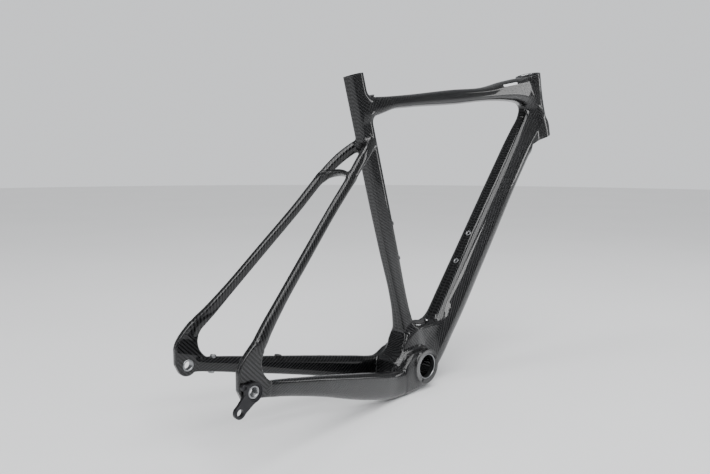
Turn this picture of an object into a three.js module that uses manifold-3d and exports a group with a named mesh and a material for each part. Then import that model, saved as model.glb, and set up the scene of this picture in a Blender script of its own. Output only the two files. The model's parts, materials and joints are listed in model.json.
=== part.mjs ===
// The frame of a road bicycle with a battery-size down tube: hollow carbon tubes, bonded end to end,
// and the metal and rubber fittings that a bare frame carries.
// Millimetres. X is forward, Y is the rider's left and Z is up. The origin is the centre of the bottom
// bracket, half way along its axis. The drive side is at -Y and the brake disc's side is at +Y.

import * as THREE from 'three';
import { mergeVertices } from 'three/addons/utils/BufferGeometryUtils.js';
import Module from 'manifold-3d';

const wasm = await Module();
wasm.setup();

// ---------------------------------------------------------------- driving dimensions

const CHAINSTAY_LENGTH = 416;
const BB_DROP = 69;                  // the rear axle is this far above the bottom bracket
const SEAT_ANGLE = 73.6;             // degrees from level, as the other two angles
const SEAT_TUBE_LENGTH = 517;
const HEAD_ANGLE = 72.6;
const HEAD_TUBE_LENGTH = 135;
const STACK = 543;                   // height of the head tube's top
const REACH = 386;                   // and how far forward it is
const DOWN_TUBE_ANGLE = 52;
const DOWN_TUBE_OFFSET = 37.7;       // how far ahead of the bottom bracket its centre line passes
const TOP_TUBE_ANGLE = 6.94;
const TOP_TUBE_START = new THREE.Vector3(-130, 0, 449.6);
const SEATSTAY_ANGLE = 45;
const SEATSTAY_START = new THREE.Vector3(-409, 0, 110);
const AXLE_WIDTH = 142;              // between the inner faces of the dropouts
const AXLE_RADIUS = 6;
const DROPOUT_THICKNESS = 9;
const SHELL_HALF = 43.25;            // half of the bottom bracket's 86.5 mm width
const SHELL_RADIUS = 30.5;
const SHELL_BORE = 23;
const CORE_HALF = 21;                // half width of the block between the seat tube and the down tube
const WALL = 2;                      // carbon wall
const GAP = 0.3;                     // bond line between neighbours
const BOTTLE_SPACING = 64;
const BOSS_PLACES = [196, 196 + BOTTLE_SPACING];   // along the seat tube's and the down tube's lines
const BOSS_PROFILE = [
  [2.5, -11], [3.9, -11], [3.9, 0.3], [5.6, 0.3], [5.2, 1.1], [2.5, 1.1], [2.5, -11],
];

// ---------------------------------------------------------------- materials

const finish = (color, roughness, metalness) => ({ color, roughness, metalness });
const CARBON = finish(0x17181a, 0.28, 0);
const ALLOY = finish(0x9a9da1, 0.35, 0.9);
const BLACK_ALLOY = finish(0x1d1e20, 0.38, 0.75);
const STEEL = finish(0xb5b7b9, 0.28, 1);
const RUBBER = finish(0x141414, 0.8, 0);

const frame = new THREE.Group();

function add(name, geometry, look) {
  const mesh = new THREE.Mesh(geometry, new THREE.MeshStandardMaterial(look));
  mesh.name = name;
  frame.add(mesh);
}

// ---------------------------------------------------------------- solids

const cut = (solid, ...tools) => tools.reduce((left, tool) => left.subtract(tool), solid);
const join = (solid, ...others) => others.reduce((sum, other) => sum.add(other), solid);

// A closed geometry as a solid. A mirrored or remapped one may be inside out, so its volume is checked.
function solidOf(geometry) {
  const plain = geometry.clone();
  plain.deleteAttribute('normal');
  plain.deleteAttribute('uv');
  const merged = mergeVertices(plain, 1e-4);
  const points = merged.attributes.position.array;
  let corners = merged.index.array;
  corners = Array.from(corners);
  const kept = [];
  for (let i = 0; i < corners.length; i += 3) {
    const [a, b, c] = corners.slice(i, i + 3);
    if (a !== b && b !== c && c !== a) kept.push(a, b, c);
  }
  if (signedVolume(points, kept) < 0) {
    for (let i = 0; i < kept.length; i += 3) [kept[i], kept[i + 1]] = [kept[i + 1], kept[i]];
  }
  return new wasm.Manifold(new wasm.Mesh({
    numProp: 3,
    vertProperties: new Float32Array(points),
    triVerts: new Uint32Array(kept),
  }));
}

function signedVolume(points, corners) {
  const [a, b, c] = [new THREE.Vector3(), new THREE.Vector3(), new THREE.Vector3()];
  let volume = 0;
  for (let i = 0; i < corners.length; i += 3) {
    a.fromArray(points, corners[i] * 3);
    b.fromArray(points, corners[i + 1] * 3);
    c.fromArray(points, corners[i + 2] * 3);
    volume += a.dot(b.cross(c)) / 6;
  }
  return volume;
}

function geometryOf(solid) {
  const mesh = solid.getMesh();
  const geometry = new THREE.BufferGeometry();
  geometry.setAttribute('position', new THREE.BufferAttribute(mesh.vertProperties, 3));
  geometry.setIndex(new THREE.BufferAttribute(mesh.triVerts, 1));
  geometry.computeVertexNormals();
  return geometry;
}

// Only the largest body is kept, so that no sliver is left behind a cut.
function largest(solid) {
  const bodies = solid.decompose();
  return bodies.reduce((best, body) => (body.volume() > best.volume() ? body : best));
}

const part = (name, solid, look) => add(name, geometryOf(largest(solid)), look);

// ---------------------------------------------------------------- lines that the tubes follow

const radians = THREE.MathUtils.degToRad;

// A line in the frame's middle plane, at an angle up from forward, with the way ahead across it.
function line(start, degrees) {
  const angle = radians(degrees);
  return {
    start,
    along: new THREE.Vector3(Math.cos(angle), 0, Math.sin(angle)),
    ahead: new THREE.Vector3(Math.sin(angle), 0, -Math.cos(angle)),
  };
}

// The point that lies so far along a line, ahead of it, and to the rider's left of it.
const onLine = (way, along, ahead = 0, y = 0) => way.start.clone()
  .addScaledVector(way.along, along)
  .addScaledVector(way.ahead, ahead)
  .add(new THREE.Vector3(0, y, 0));

const axleX = -Math.sqrt(CHAINSTAY_LENGTH ** 2 - BB_DROP ** 2);
const axle = new THREE.Vector3(axleX, 0, BB_DROP);
const chainstayAngle = 180 - THREE.MathUtils.radToDeg(Math.asin(BB_DROP / CHAINSTAY_LENGTH));
const headTop = new THREE.Vector3(REACH, 0, STACK);
const headBottom = line(headTop, -HEAD_ANGLE).along.multiplyScalar(HEAD_TUBE_LENGTH).add(headTop);

const SEAT_LINE = line(new THREE.Vector3(), 180 - SEAT_ANGLE);
const HEAD_LINE = line(headBottom, 180 - HEAD_ANGLE);
const DOWN_LINE = line(new THREE.Vector3(DOWN_TUBE_OFFSET, 0, 0), DOWN_TUBE_ANGLE);
const TOP_LINE = line(TOP_TUBE_START, TOP_TUBE_ANGLE);
const CHAINSTAY_LINE = line(new THREE.Vector3(), chainstayAngle);
const SEATSTAY_LINE = line(SEATSTAY_START, SEATSTAY_ANGLE);

// ---------------------------------------------------------------- lofted tubes

// What a station states, and what holds where it doesn't. low and top are how far the tube's two faces lie
// ahead of its line, half is half its width, and y is how far left its middle lies. A box exponent of 2 is
// round and more is squarer, and narrow is the width of the low face as a share of the middle's.
const USUAL = { low: 0, top: 0, half: 0, y: 0, boxLow: 2, boxTop: 2, narrow: 1 };
const KEYS = Object.keys(USUAL);

// The section at any place along a tube, on a smooth curve through the sizes of its stations.
function sectionsOf(stations) {
  const places = stations.map((station) => station.along);
  const sizes = stations.flatMap((station) => KEYS.map((key) => station[key] ?? USUAL[key]));
  const curve = new THREE.CubicInterpolant(places, sizes, KEYS.length);
  return (along) => {
    const values = curve.evaluate(along);
    return { along, ...Object.fromEntries(KEYS.map((key, i) => [key, values[i]])) };
  };
}

// The stations with some more between each two of them.
function fillIn(stations, between) {
  const sectionAt = sectionsOf(stations);
  const places = stations.slice(1).flatMap((next, i) => {
    const { along } = stations[i];
    return Array.from({ length: between }, (_, k) => (
      THREE.MathUtils.lerp(along, next.along, (k + 1) / between)));
  });
  return [stations[0].along, ...places].map(sectionAt);
}

// A point on a section, whose two halves are superellipses.
function sectionPoint(station, turn, inset) {
  const [c, s] = [Math.cos(turn), Math.sin(turn)];
  const box = c > 0 ? station.boxTop : station.boxLow;
  const depth = (station.top - station.low) / 2 - inset;
  const reach = Math.abs(c) ** (2 / box);
  const spread = c > 0 ? 1 : 1 - (1 - station.narrow) * reach;
  return {
    ahead: (station.top + station.low) / 2 + Math.sign(c) * depth * reach,
    y: station.y + Math.sign(s) * spread * (station.half - inset) * Math.abs(s) ** (2 / box),
  };
}

// A tube lofted through its stations. A lathe makes the closed skin, round a unit tube, and each of its
// rings is then laid on its own section.
function loft(way, stations, { between = 1, turns = 16, wall = 0, grow = 0 } = {}) {
  const filled = fillIn(stations, between);
  const rings = filled.length - 1;
  const steps = filled.map((_, ring) => ring);
  const outer = steps.map((ring) => new THREE.Vector2(2, ring));
  const inner = steps.map((ring) => new THREE.Vector2(wall > 0 ? 1 : 0, ring)).reverse();
  const profile = wall > 0 ? [...outer, ...inner, outer[0]] : [inner[rings], ...outer, inner[0]];
  const skin = new THREE.LatheGeometry(profile, turns);
  const spots = skin.attributes.position;
  for (let i = 0; i < spots.count; i += 1) {
    const [x, ring, z] = [spots.getX(i), spots.getY(i), spots.getZ(i)];
    const radius = Math.round(Math.hypot(x, z));
    const station = filled[Math.round(ring)];
    const turn = Math.atan2(x, z);
    const middle = { ahead: (station.top + station.low) / 2, y: station.y };
    const inset = radius === 1 ? wall : -grow;
    const { ahead, y } = radius === 0 ? middle : sectionPoint(station, turn, inset);
    const spot = onLine(way, station.along, ahead, y);
    spots.setXYZ(i, spot.x, spot.y, spot.z);
  }
  return solidOf(skin);
}

// ---------------------------------------------------------------- turned and plain pieces

// A solid turned about a line through a point. The profile lists radius and height along the axis.
function turned(profile, at, axis, turns = 20) {
  const points = profile.map(([radius, height]) => new THREE.Vector2(radius, height));
  const geometry = new THREE.LatheGeometry(points, turns);
  const tilt = new THREE.Quaternion().setFromUnitVectors(new THREE.Vector3(0, 1, 0), axis);
  geometry.applyQuaternion(tilt);
  geometry.translate(at.x, at.y, at.z);
  return solidOf(geometry);
}

const disc = (radius, low, high) => [[0, low], [radius, low], [radius, high], [0, high]];
const ring = (inner, outer, low, high) => [
  [inner, low], [outer, low], [outer, high], [inner, high], [inner, low],
];
const rod = (radius, low, high, at, axis, turns) => turned(disc(radius, low, high), at, axis, turns);
const hoop = (inner, outer, low, high, at, axis, turns) => (
  turned(ring(inner, outer, low, high), at, axis, turns));

const LEFT = new THREE.Vector3(0, 1, 0);

// A flat outline in the frame's middle plane, given as [x, z] points or as a Shape, between two values of y.
function plate(outline, lowY, highY) {
  const shape = Array.isArray(outline)
    ? new THREE.Shape(outline.map(([x, z]) => new THREE.Vector2(x, z)))
    : outline;
  const geometry = new THREE.ExtrudeGeometry(shape, {
    depth: highY - lowY, bevelEnabled: false, curveSegments: 6,
  });
  geometry.rotateX(Math.PI / 2);
  geometry.translate(0, highY, 0);
  return solidOf(geometry);
}

// A block whose edges follow a line: its size along the line, ahead of it, and across.
function block(way, alongRange, aheadRange, yRange) {
  const middle = ([low, high]) => (low + high) / 2;
  const size = ([low, high]) => high - low;
  const geometry = new THREE.BoxGeometry(size(alongRange), size(aheadRange), size(yRange));
  const basis = new THREE.Matrix4().makeBasis(way.along, way.ahead, LEFT);
  geometry.applyMatrix4(basis);
  const at = onLine(way, middle(alongRange), middle(aheadRange), middle(yRange));
  geometry.translate(at.x, at.y, at.z);
  return solidOf(geometry);
}

// The same loft, a bond line larger all over and without its hollow, to cut the tubes that meet it.
const tubePair = (way, stations, options) => [
  loft(way, stations, { wall: WALL, ...options }),
  loft(way, stations, { ...options, wall: 0, grow: GAP }),
];

// ---------------------------------------------------------------- head tube

// Round all the way, waisted above its wide lower end.
const HEAD_STATIONS = [
  { along: 0, low: -31, top: 31, half: 31 },
  { along: 14, low: -29, top: 30, half: 29.5 },
  { along: 40, low: -27, top: 29, half: 25.5 },
  { along: 85, low: -26, top: 28, half: 23 },
  { along: 120, low: -25.5, top: 26.5, half: 24.5 },
  { along: HEAD_TUBE_LENGTH, low: -25.5, top: 25.5, half: 25.5 },
];
const HEAD_WALL = 3;
const [headTube, headTubeGrown] = tubePair(HEAD_LINE, HEAD_STATIONS, { turns: 28, wall: HEAD_WALL });
const lowerSeatRadius = 31 - HEAD_WALL - GAP;
const upperSeatRadius = 25.5 - HEAD_WALL - GAP;
const SEAT_RING_HEIGHT = 8;
part('head_tube', headTube, CARBON);

// The rings that the headset bearings sit in.
const headRing = (radius, wall, low) => hoop(
  radius - wall, radius, low, low + SEAT_RING_HEIGHT, headBottom, HEAD_LINE.along, 24);
const lowerSeat = headRing(lowerSeatRadius - 1.4, 2.4, 0.4);
const upperSeat = headRing(upperSeatRadius - 1.2, 2, HEAD_TUBE_LENGTH - SEAT_RING_HEIGHT - 0.4);
part('lower_headset_seat', lowerSeat, ALLOY);
part('upper_headset_seat', upperSeat, ALLOY);

// ---------------------------------------------------------------- seat tube

// A flat back with sharp corners and a long round nose; it thins where it passes the rear wheel.
const SEAT_STATIONS = [
  { along: 42, low: -9, top: 21, half: 14, boxLow: 4 },
  { along: 85, low: -6.5, top: 20, half: 12, boxLow: 6 },
  { along: 130, low: -8, top: 21, half: 11.2, boxLow: 7 },
  { along: 220, low: -11.5, top: 22, half: 11, boxLow: 7 },
  { along: 340, low: -14, top: 21, half: 11, boxLow: 7 },
  { along: 430, low: -14.2, top: 20.5, half: 11, boxLow: 7 },
  { along: SEAT_TUBE_LENGTH, low: -14.5, top: 19.5, half: 11, boxLow: 7 },
].map((station) => ({ boxTop: 2.2, ...station }));
const [seatTubeHollow, seatTubeGrown] = tubePair(SEAT_LINE, SEAT_STATIONS, { turns: 20 });

// ---------------------------------------------------------------- bottom bracket block

const barrel = (radius, half) => rod(radius, -half, half, new THREE.Vector3(), LEFT, 36);
const SHELF_Z = 66;
const CORE_OUTLINE = new THREE.Shape();
CORE_OUTLINE.moveTo(-64, -40);
CORE_OUTLINE.quadraticCurveTo(-69, -8, -64, 18);
CORE_OUTLINE.quadraticCurveTo(-44, 26, -38, 50);
CORE_OUTLINE.lineTo(-34, 88);
CORE_OUTLINE.lineTo(-1, 90);
CORE_OUTLINE.quadraticCurveTo(1, SHELF_Z, 9, SHELF_Z);
CORE_OUTLINE.lineTo(60, SHELF_Z);
CORE_OUTLINE.quadraticCurveTo(84, SHELF_Z + 2, 98, 92);
CORE_OUTLINE.lineTo(112, 70);
CORE_OUTLINE.lineTo(52, -18);
CORE_OUTLINE.quadraticCurveTo(38, -36, 10, -37);
CORE_OUTLINE.quadraticCurveTo(-30, -46, -64, -40);
const coreBlock = plate(CORE_OUTLINE, -CORE_HALF, CORE_HALF);

// A cheek on each side takes a chainstay's front end and runs on under the barrel.
const STAY_START = 36;
function cheek(side, top, low) {
  const rearTop = onLine(CHAINSTAY_LINE, STAY_START - GAP, top);
  const rearLow = onLine(CHAINSTAY_LINE, STAY_START - GAP, low);
  const outline = [
    [rearTop.x, rearTop.z], [rearLow.x, rearLow.z],
    [-16, Math.max(-41.5, rearLow.z + 3)], [10, -37], [27, -32], [SHELL_RADIUS - 2, -4], [-6, SHELL_RADIUS - 2],
  ];
  const edges = [side * (CORE_HALF - 1), side * (SHELL_HALF - 0.7)].sort((a, b) => a - b);
  return plate(outline, ...edges);
}

// The down tube's outside closes in below the bottom bracket's centre. Its flat back is narrower than its
// middle, so that its flanks are chamfered.
const DOWN_STATIONS = [
  { along: -32, low: -2, top: 12, half: 16, narrow: 0.8 },
  { along: -16, low: -16, top: 22, half: 22, narrow: 0.7 },
  { along: 8, low: -24, top: 28, half: 27 },
  { along: 70, low: -24.5, top: 30.5, half: 30 },
  { along: 250, low: -24.5, top: 30.5, half: 30 },
  { along: 450, low: -23.5, top: 28, half: 29 },
  { along: 495, low: -23.5, top: 31, half: 28.5 },
  { along: 530, low: -23.5, top: 45, half: 28 },
  { along: 562, low: -24, top: 56, half: 28.5 },
  { along: 590, low: -38, top: 64, half: 28.5 },
].map((station) => ({ boxLow: 5, boxTop: 3.2, narrow: 0.56, ...station }));
const [downHollow, downGrown] = tubePair(DOWN_LINE, DOWN_STATIONS, { turns: 20 });

const bore = rod(SHELL_BORE, -90, 90, new THREE.Vector3(), LEFT, 36);
const PORT = { x: 24, radius: 11, depth: 13 };
const portAt = new THREE.Vector3(PORT.x, 0, SHELF_Z);
const UP = new THREE.Vector3(0, 0, 1);
const portHole = rod(PORT.radius + GAP, -PORT.depth - 8, 5, portAt, UP);
const screwAt = new THREE.Vector3(49.5, 0, SHELF_Z);
const screwHole = rod(2.3, -10, 5, screwAt, UP, 16);
// The room inside the block, open to the bore, where the wiring passes.
const coreRoom = plate([[-52, -30], [-54, 12], [-30, 24], [-6, 50], [66, 50], [46, -2], [20, -28]], -16, 16);
const shellGrown = barrel(SHELL_RADIUS + GAP, SHELL_HALF + GAP);
const lug = cut(
  join(coreBlock, cheek(-1, -2, -49), cheek(1, 7, -34)),
  coreRoom, shellGrown, seatTubeGrown, downGrown, portHole, screwHole);
part('bottom_bracket_lug', lug, CARBON);
part('bottom_bracket_shell', cut(barrel(SHELL_RADIUS, SHELL_HALF), bore), CARBON);
const seatRing = (side) => hoop(
  SHELL_BORE - 2.6, SHELL_BORE - 0.6, SHELL_HALF - 11, SHELL_HALF - 0.5,
  new THREE.Vector3(), new THREE.Vector3(0, side, 0), 36);
part('bearing_seat_drive_side', seatRing(-1), ALLOY);
part('bearing_seat_disc_side', seatRing(1), ALLOY);

// ---------------------------------------------------------------- top tube

// Its back is its upper face. A fillet meets the seat tube, and a raised fairing meets the head tube.
const TOP_STATIONS = [
  { along: 0, low: -13, top: 23, half: 13 },
  { along: 25, low: -12, top: 20, half: 13.5 },
  { along: 45, low: -11.3, top: 16.5, half: 14.5 },
  { along: 72, low: -10.8, top: 11.4, half: 15.5 },
  { along: 110, low: -10.8, top: 11, half: 16.5 },
  { along: 240, low: -13, top: 14, half: 18 },
  { along: 360, low: -13.6, top: 14.5, half: 19 },
  { along: 420, low: -21, top: 17.8, half: 19.5 },
  { along: 470, low: -25.5, top: 24, half: 20.5 },
  { along: 500, low: -29, top: 33, half: 21.5 },
  { along: 525, low: -33, top: 44, half: 22.5 },
].map((station) => ({ boxLow: 2.8, boxTop: 2.6, ...station }));
const [topHollow, topGrown] = tubePair(TOP_LINE, TOP_STATIONS, { turns: 18 });

// The hidden seat clamp lies ahead of the seat tube, inside the top tube. Its bolt is parallel to the
// seat tube, and its sizes are along and ahead of the seat tube's line.
const CLAMP = { bolt: 31, low: 453, high: 462.3, travel: 2.5, seat: 465.4, seatTop: 469.4, head: 474 };
const clampRod = (radius, low, high, turns = 16) => rod(
  radius, low, high, onLine(SEAT_LINE, 0, CLAMP.bolt), SEAT_LINE.along, turns);
const clampWindow = block(
  SEAT_LINE, [CLAMP.low - 1.5, CLAMP.high + CLAMP.travel + 1.2], [14, 26], [-7.2, 7.2]);
const clampHole = clampRod(5.4, CLAMP.head - 8, CLAMP.head + 14);
const topTube = cut(topHollow, seatTubeGrown, headTubeGrown, downGrown, clampHole);
part('top_tube', topTube, CARBON);
const seatBossAt = (along) => onLine(SEAT_LINE, along, 22);
const seatHoles = BOSS_PLACES.map((along) => rod(4.2, -6, 4, seatBossAt(along), SEAT_LINE.ahead, 16));
part('seat_tube', cut(seatTubeHollow, clampWindow, ...seatHoles), CARBON);

const clampHoleInner = clampRod(3.4, 400, 500);
const wedge = cut(
  plate([[CLAMP.low, 19], [CLAMP.high, 19], [CLAMP.high, 37], [CLAMP.low, 35]].map(([along, ahead]) => {
    const { x, z } = onLine(SEAT_LINE, along, ahead);
    return [x, z];
  }), -6.3, 6.3),
  clampHoleInner);
part('seat_clamp_wedge', wedge, BLACK_ALLOY);
const clampSeat = cut(block(SEAT_LINE, [CLAMP.seat, CLAMP.seatTop], [24, 37.5], [-7.5, 7.5]), clampHoleInner);
part('seat_clamp_seat', clampSeat, BLACK_ALLOY);
const clampBolt = cut(
  join(clampRod(3, CLAMP.low - 1.5, CLAMP.seatTop + 1), clampRod(4.9, CLAMP.seatTop + GAP, CLAMP.head)),
  clampRod(2.3, CLAMP.head - 2.8, CLAMP.head + 5, 6));
part('seat_clamp_bolt', clampBolt, STEEL);
const plugProfile = [[0, 0.6], [4.9, 0.6], [4.9, 2.4], [6.4, 3.2], [5.6, 4.2], [0, 4.6]];
part('seat_clamp_plug', turned(
  plugProfile, onLine(SEAT_LINE, CLAMP.head, CLAMP.bolt), SEAT_LINE.along, 20), RUBBER);

// ---------------------------------------------------------------- down tube

const downBossAt = (along) => onLine(DOWN_LINE, along, -24.5);
const downOut = DOWN_LINE.ahead.clone().negate();
const downHoles = BOSS_PLACES.map((along) => rod(4.2, -6, 4, downBossAt(along), downOut, 16));
part('down_tube', cut(downHollow, shellGrown, headTubeGrown, ...downHoles), CARBON);
BOSS_PLACES.forEach((along, i) => {
  part(`bottle_boss_down_tube_${i + 1}`, turned(BOSS_PROFILE, downBossAt(along), downOut, 16), ALLOY);
});

// ---------------------------------------------------------------- chainstays

// y is how far out each stay's middle lies. The drive side's is dropped and deep ahead, to clear the rings.
const DRIVE_STAY = [
  { along: STAY_START, low: -50.5, top: -2, y: 32.5, half: 10.7 },
  { along: 70, low: -54, top: -7.5, y: 33.5, half: 11 },
  { along: 105, low: -51, top: -6, y: 35.5, half: 11.5 },
  { along: 150, low: -46, top: -2.4, y: 41, half: 11.5 },
  { along: 213, low: -36, top: 1.8, y: 50, half: 10.5 },
  { along: 257, low: -27.5, top: 5, y: 57, half: 9.5 },
  { along: 324, low: -17.5, top: 8.5, y: 66.5, half: 8 },
  { along: 360, low: -13.2, top: 10.4, y: 71.5, half: 6.8 },
  { along: 393, low: -10.8, top: 11.5, y: 75.3, half: 5.6 },
];
const DISC_STAY = [
  { along: STAY_START, low: -35, top: 7, y: 32, half: 10 },
  { along: 65, low: -34, top: 7, y: 32.5, half: 10 },
  { along: 105, low: -31, top: 8, y: 35, half: 10.5 },
  { along: 150, low: -27, top: 9, y: 40.5, half: 10.5 },
  { along: 213, low: -22, top: 9.8, y: 50, half: 10 },
  { along: 257, low: -19, top: 10, y: 57, half: 9.3 },
  { along: 324, low: -15, top: 10.5, y: 66.5, half: 8.2 },
  { along: 360, low: -12.5, top: 11, y: 71.5, half: 7 },
  { along: 393, low: -10.8, top: 11.5, y: 75.3, half: 5.6 },
];
const onSide = (stations, side, shape) => stations.map(
  (station) => ({ ...shape, ...station, y: side * station.y }));
const chainstay = (stations, side) => loft(
  CHAINSTAY_LINE, onSide(stations, side, { boxLow: 3, boxTop: 3 }), { turns: 16, wall: WALL });
part('chainstay_drive_side', chainstay(DRIVE_STAY, -1), CARBON);

// Flat-mount sleeves stand through the disc side's stay, and the brake hose enters ahead of them.
const BRAKE_SPACING = 74;
const brakePlaces = [300, 300 + BRAKE_SPACING];
const UPWARD = CHAINSTAY_LINE.ahead;
const discSection = sectionsOf(DISC_STAY);
const stayY = (along) => discSection(along).y;
const onDiscStay = (along, ahead) => onLine(CHAINSTAY_LINE, along, ahead, stayY(along));
const sleeveHoles = brakePlaces.map((along) => rod(5, -30, 30, onDiscStay(along, 0), UPWARD, 16));
const HOSE_ALONG = 262;
const hoseHole = rod(4.2, 0, 20, onDiscStay(HOSE_ALONG, 0), UPWARD, 16);
part('chainstay_disc_side', cut(chainstay(DISC_STAY, 1), ...sleeveHoles, hoseHole), CARBON);
brakePlaces.forEach((along, i) => {
  const low = i === 0 ? -18.5 : -13.5;
  part(`brake_sleeve_${i + 1}`, hoop(2.7, 4.7, low, 13.5, onDiscStay(along, 0), UPWARD, 16), ALLOY);
});
const GROMMET = [[2.6, 6.5], [3.9, 6.5], [3.9, 10.4], [6, 10.4], [5.4, 12], [2.6, 12], [2.6, 6.5]];
part('brake_hose_grommet', turned(GROMMET, onDiscStay(HOSE_ALONG, 0), UPWARD, 16), RUBBER);

// ---------------------------------------------------------------- seatstays and their bridge

const SEATSTAY = [
  { along: 14, low: -12, top: 11, y: 72.5, half: 5.6 },
  { along: 42, low: -10, top: 9.5, y: 67, half: 5.6 },
  { along: 85, low: -8.5, top: 8, y: 61.5, half: 5.5 },
  { along: 168, low: -8, top: 7.5, y: 50.5, half: 5.5 },
  { along: 255, low: -7.5, top: 7.5, y: 39.5, half: 5.5 },
  { along: 318, low: -8, top: 7.5, y: 34, half: 5.8 },
  { along: 345, low: -8, top: 8.5, y: 29.5, half: 6 },
  { along: 370, low: -6.5, top: 11.5, y: 24, half: 6.3 },
  { along: 392, low: -3.5, top: 15.5, y: 16.5, half: 6.3 },
  { along: 410, low: 0, top: 19, y: 9, half: 6 },
];
const SEATSTAY_WALL = 1.5;
const seatstayLoft = (side, options) => loft(
  SEATSTAY_LINE, onSide(SEATSTAY, side, { boxLow: 3, boxTop: 2.6 }), { turns: 12, ...options });
for (const [side, name] of [[-1, 'drive'], [1, 'disc']]) {
  const stay = cut(seatstayLoft(side, { wall: SEATSTAY_WALL }), seatTubeGrown);
  part(`seatstay_${name}_side`, stay, CARBON);
}

// The bridge arches over the tyre, between the stays.
const BRIDGE_ALONG = 322;
const bridgeCurve = new THREE.CatmullRomCurve3([
  onLine(SEATSTAY_LINE, BRIDGE_ALONG - 4, 0, -33),
  onLine(SEATSTAY_LINE, BRIDGE_ALONG + 5, 0, -18),
  onLine(SEATSTAY_LINE, BRIDGE_ALONG + 8, 0, 0),
  onLine(SEATSTAY_LINE, BRIDGE_ALONG + 5, 0, 18),
  onLine(SEATSTAY_LINE, BRIDGE_ALONG - 4, 0, 33),
]);
const bridgeSection = new THREE.Shape();
bridgeSection.absellipse(0, 0, 4, 7, 0, Math.PI * 2);
const bridgeSolid = solidOf(new THREE.ExtrudeGeometry(bridgeSection, {
  steps: 10, curveSegments: 5, extrudePath: bridgeCurve, bevelEnabled: false,
}));
part('seatstay_bridge', cut(
  bridgeSolid, ...[-1, 1].map((side) => seatstayLoft(side, { grow: GAP }))), CARBON);

// ---------------------------------------------------------------- dropouts, hanger and axle fittings

const FACE = AXLE_WIDTH / 2;
const flat = (point) => new THREE.Vector2(point.x, point.z);
const stayEnd = (along, ahead) => flat(onLine(CHAINSTAY_LINE, along, ahead));
const seatstayEnd = (along, ahead) => flat(onLine(SEATSTAY_LINE, along, ahead));
const CHEEK_RADIUS = 16.5;

function dropoutOutline() {
  const shape = new THREE.Shape();
  const start = stayEnd(393.3, -9.8);
  shape.moveTo(start.x, start.y);
  shape.absarc(axle.x, axle.z, CHEEK_RADIUS, radians(-50), radians(-160), true);
  shape.lineTo(axle.x - 20, axle.z + 4);
  shape.lineTo(axle.x - 20, axle.z + 27);
  const back = seatstayEnd(13.7, -11);
  const front = seatstayEnd(13.7, 10);
  shape.quadraticCurveTo(axle.x - 18, axle.z + 42, back.x, back.y);
  shape.lineTo(front.x, front.y);
  const end = stayEnd(393.3, 10.5);
  shape.quadraticCurveTo(axle.x + 9, axle.z + 24, end.x, end.y);
  return shape;
}

const atAxle = (radius, lowY, highY, turns = 28) => rod(radius, lowY, highY, axle, LEFT, turns);
const NUT_RADIUS = 9;
const drivePlate = plate(dropoutOutline(), -FACE - DROPOUT_THICKNESS, -FACE);
const discPlate = plate(dropoutOutline(), FACE, FACE + DROPOUT_THICKNESS);
part('dropout_drive_side', cut(drivePlate, atAxle(NUT_RADIUS + GAP, -100, -60)), CARBON);
part('dropout_disc_side', cut(discPlate, atAxle(NUT_RADIUS + GAP, 60, 100)), CARBON);

const HANGER = { x: -433, z: 48, radius: 8.2, hole: 4.9, thickness: 6, ring: 13.3 };
const hangerFace = -FACE - DROPOUT_THICKNESS - GAP;
const hangerAt = new THREE.Vector3(HANGER.x, 0, HANGER.z);
const hangerRod = (radius, at, turns = 24) => rod(radius, hangerFace - HANGER.thickness, hangerFace, at, LEFT, turns);
const hangerArm = plate([
  [axle.x - 12, axle.z + 4], [HANGER.x - 7.6, HANGER.z + 3],
  [HANGER.x + 6, HANGER.z - 5.5], [axle.x + 3, axle.z - 12],
], hangerFace - HANGER.thickness, hangerFace);
const screwSpot = new THREE.Vector3(axle.x - 17, 0, axle.z + 12);
const hangerLug = plate([
  [axle.x - 8, axle.z + 10], [screwSpot.x - 3, screwSpot.z + 5],
  [screwSpot.x - 5, screwSpot.z - 3], [axle.x - 11, axle.z - 2],
], hangerFace - HANGER.thickness + 2, hangerFace);
const hanger = cut(
  join(hangerRod(HANGER.ring, axle, 32), hangerRod(HANGER.radius, hangerAt), hangerArm, hangerLug),
  rod(NUT_RADIUS + GAP, -100, -60, axle, LEFT, 24),
  rod(HANGER.hole, -100, -60, hangerAt, LEFT, 20));
part('derailleur_hanger', hanger, BLACK_ALLOY);

// The drive side's nut takes the axle's thread; the disc side has a plain insert. Both fill the carbon.
const nut = hoop(AXLE_RADIUS, NUT_RADIUS, -FACE - DROPOUT_THICKNESS - 4, -FACE + 0.2, axle, LEFT, 24);
part('axle_nut', nut, ALLOY);
part('axle_insert', hoop(AXLE_RADIUS + 0.15, NUT_RADIUS, FACE - 0.2, FACE + DROPOUT_THICKNESS + 0.2,
  axle, LEFT, 24), ALLOY);

// ---------------------------------------------------------------- seat tube's bosses

BOSS_PLACES.forEach((along, i) => {
  part(`bottle_boss_seat_tube_${i + 1}`, turned(BOSS_PROFILE, seatBossAt(along), SEAT_LINE.ahead, 16), ALLOY);
});

// ---------------------------------------------------------------- charge port

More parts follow.
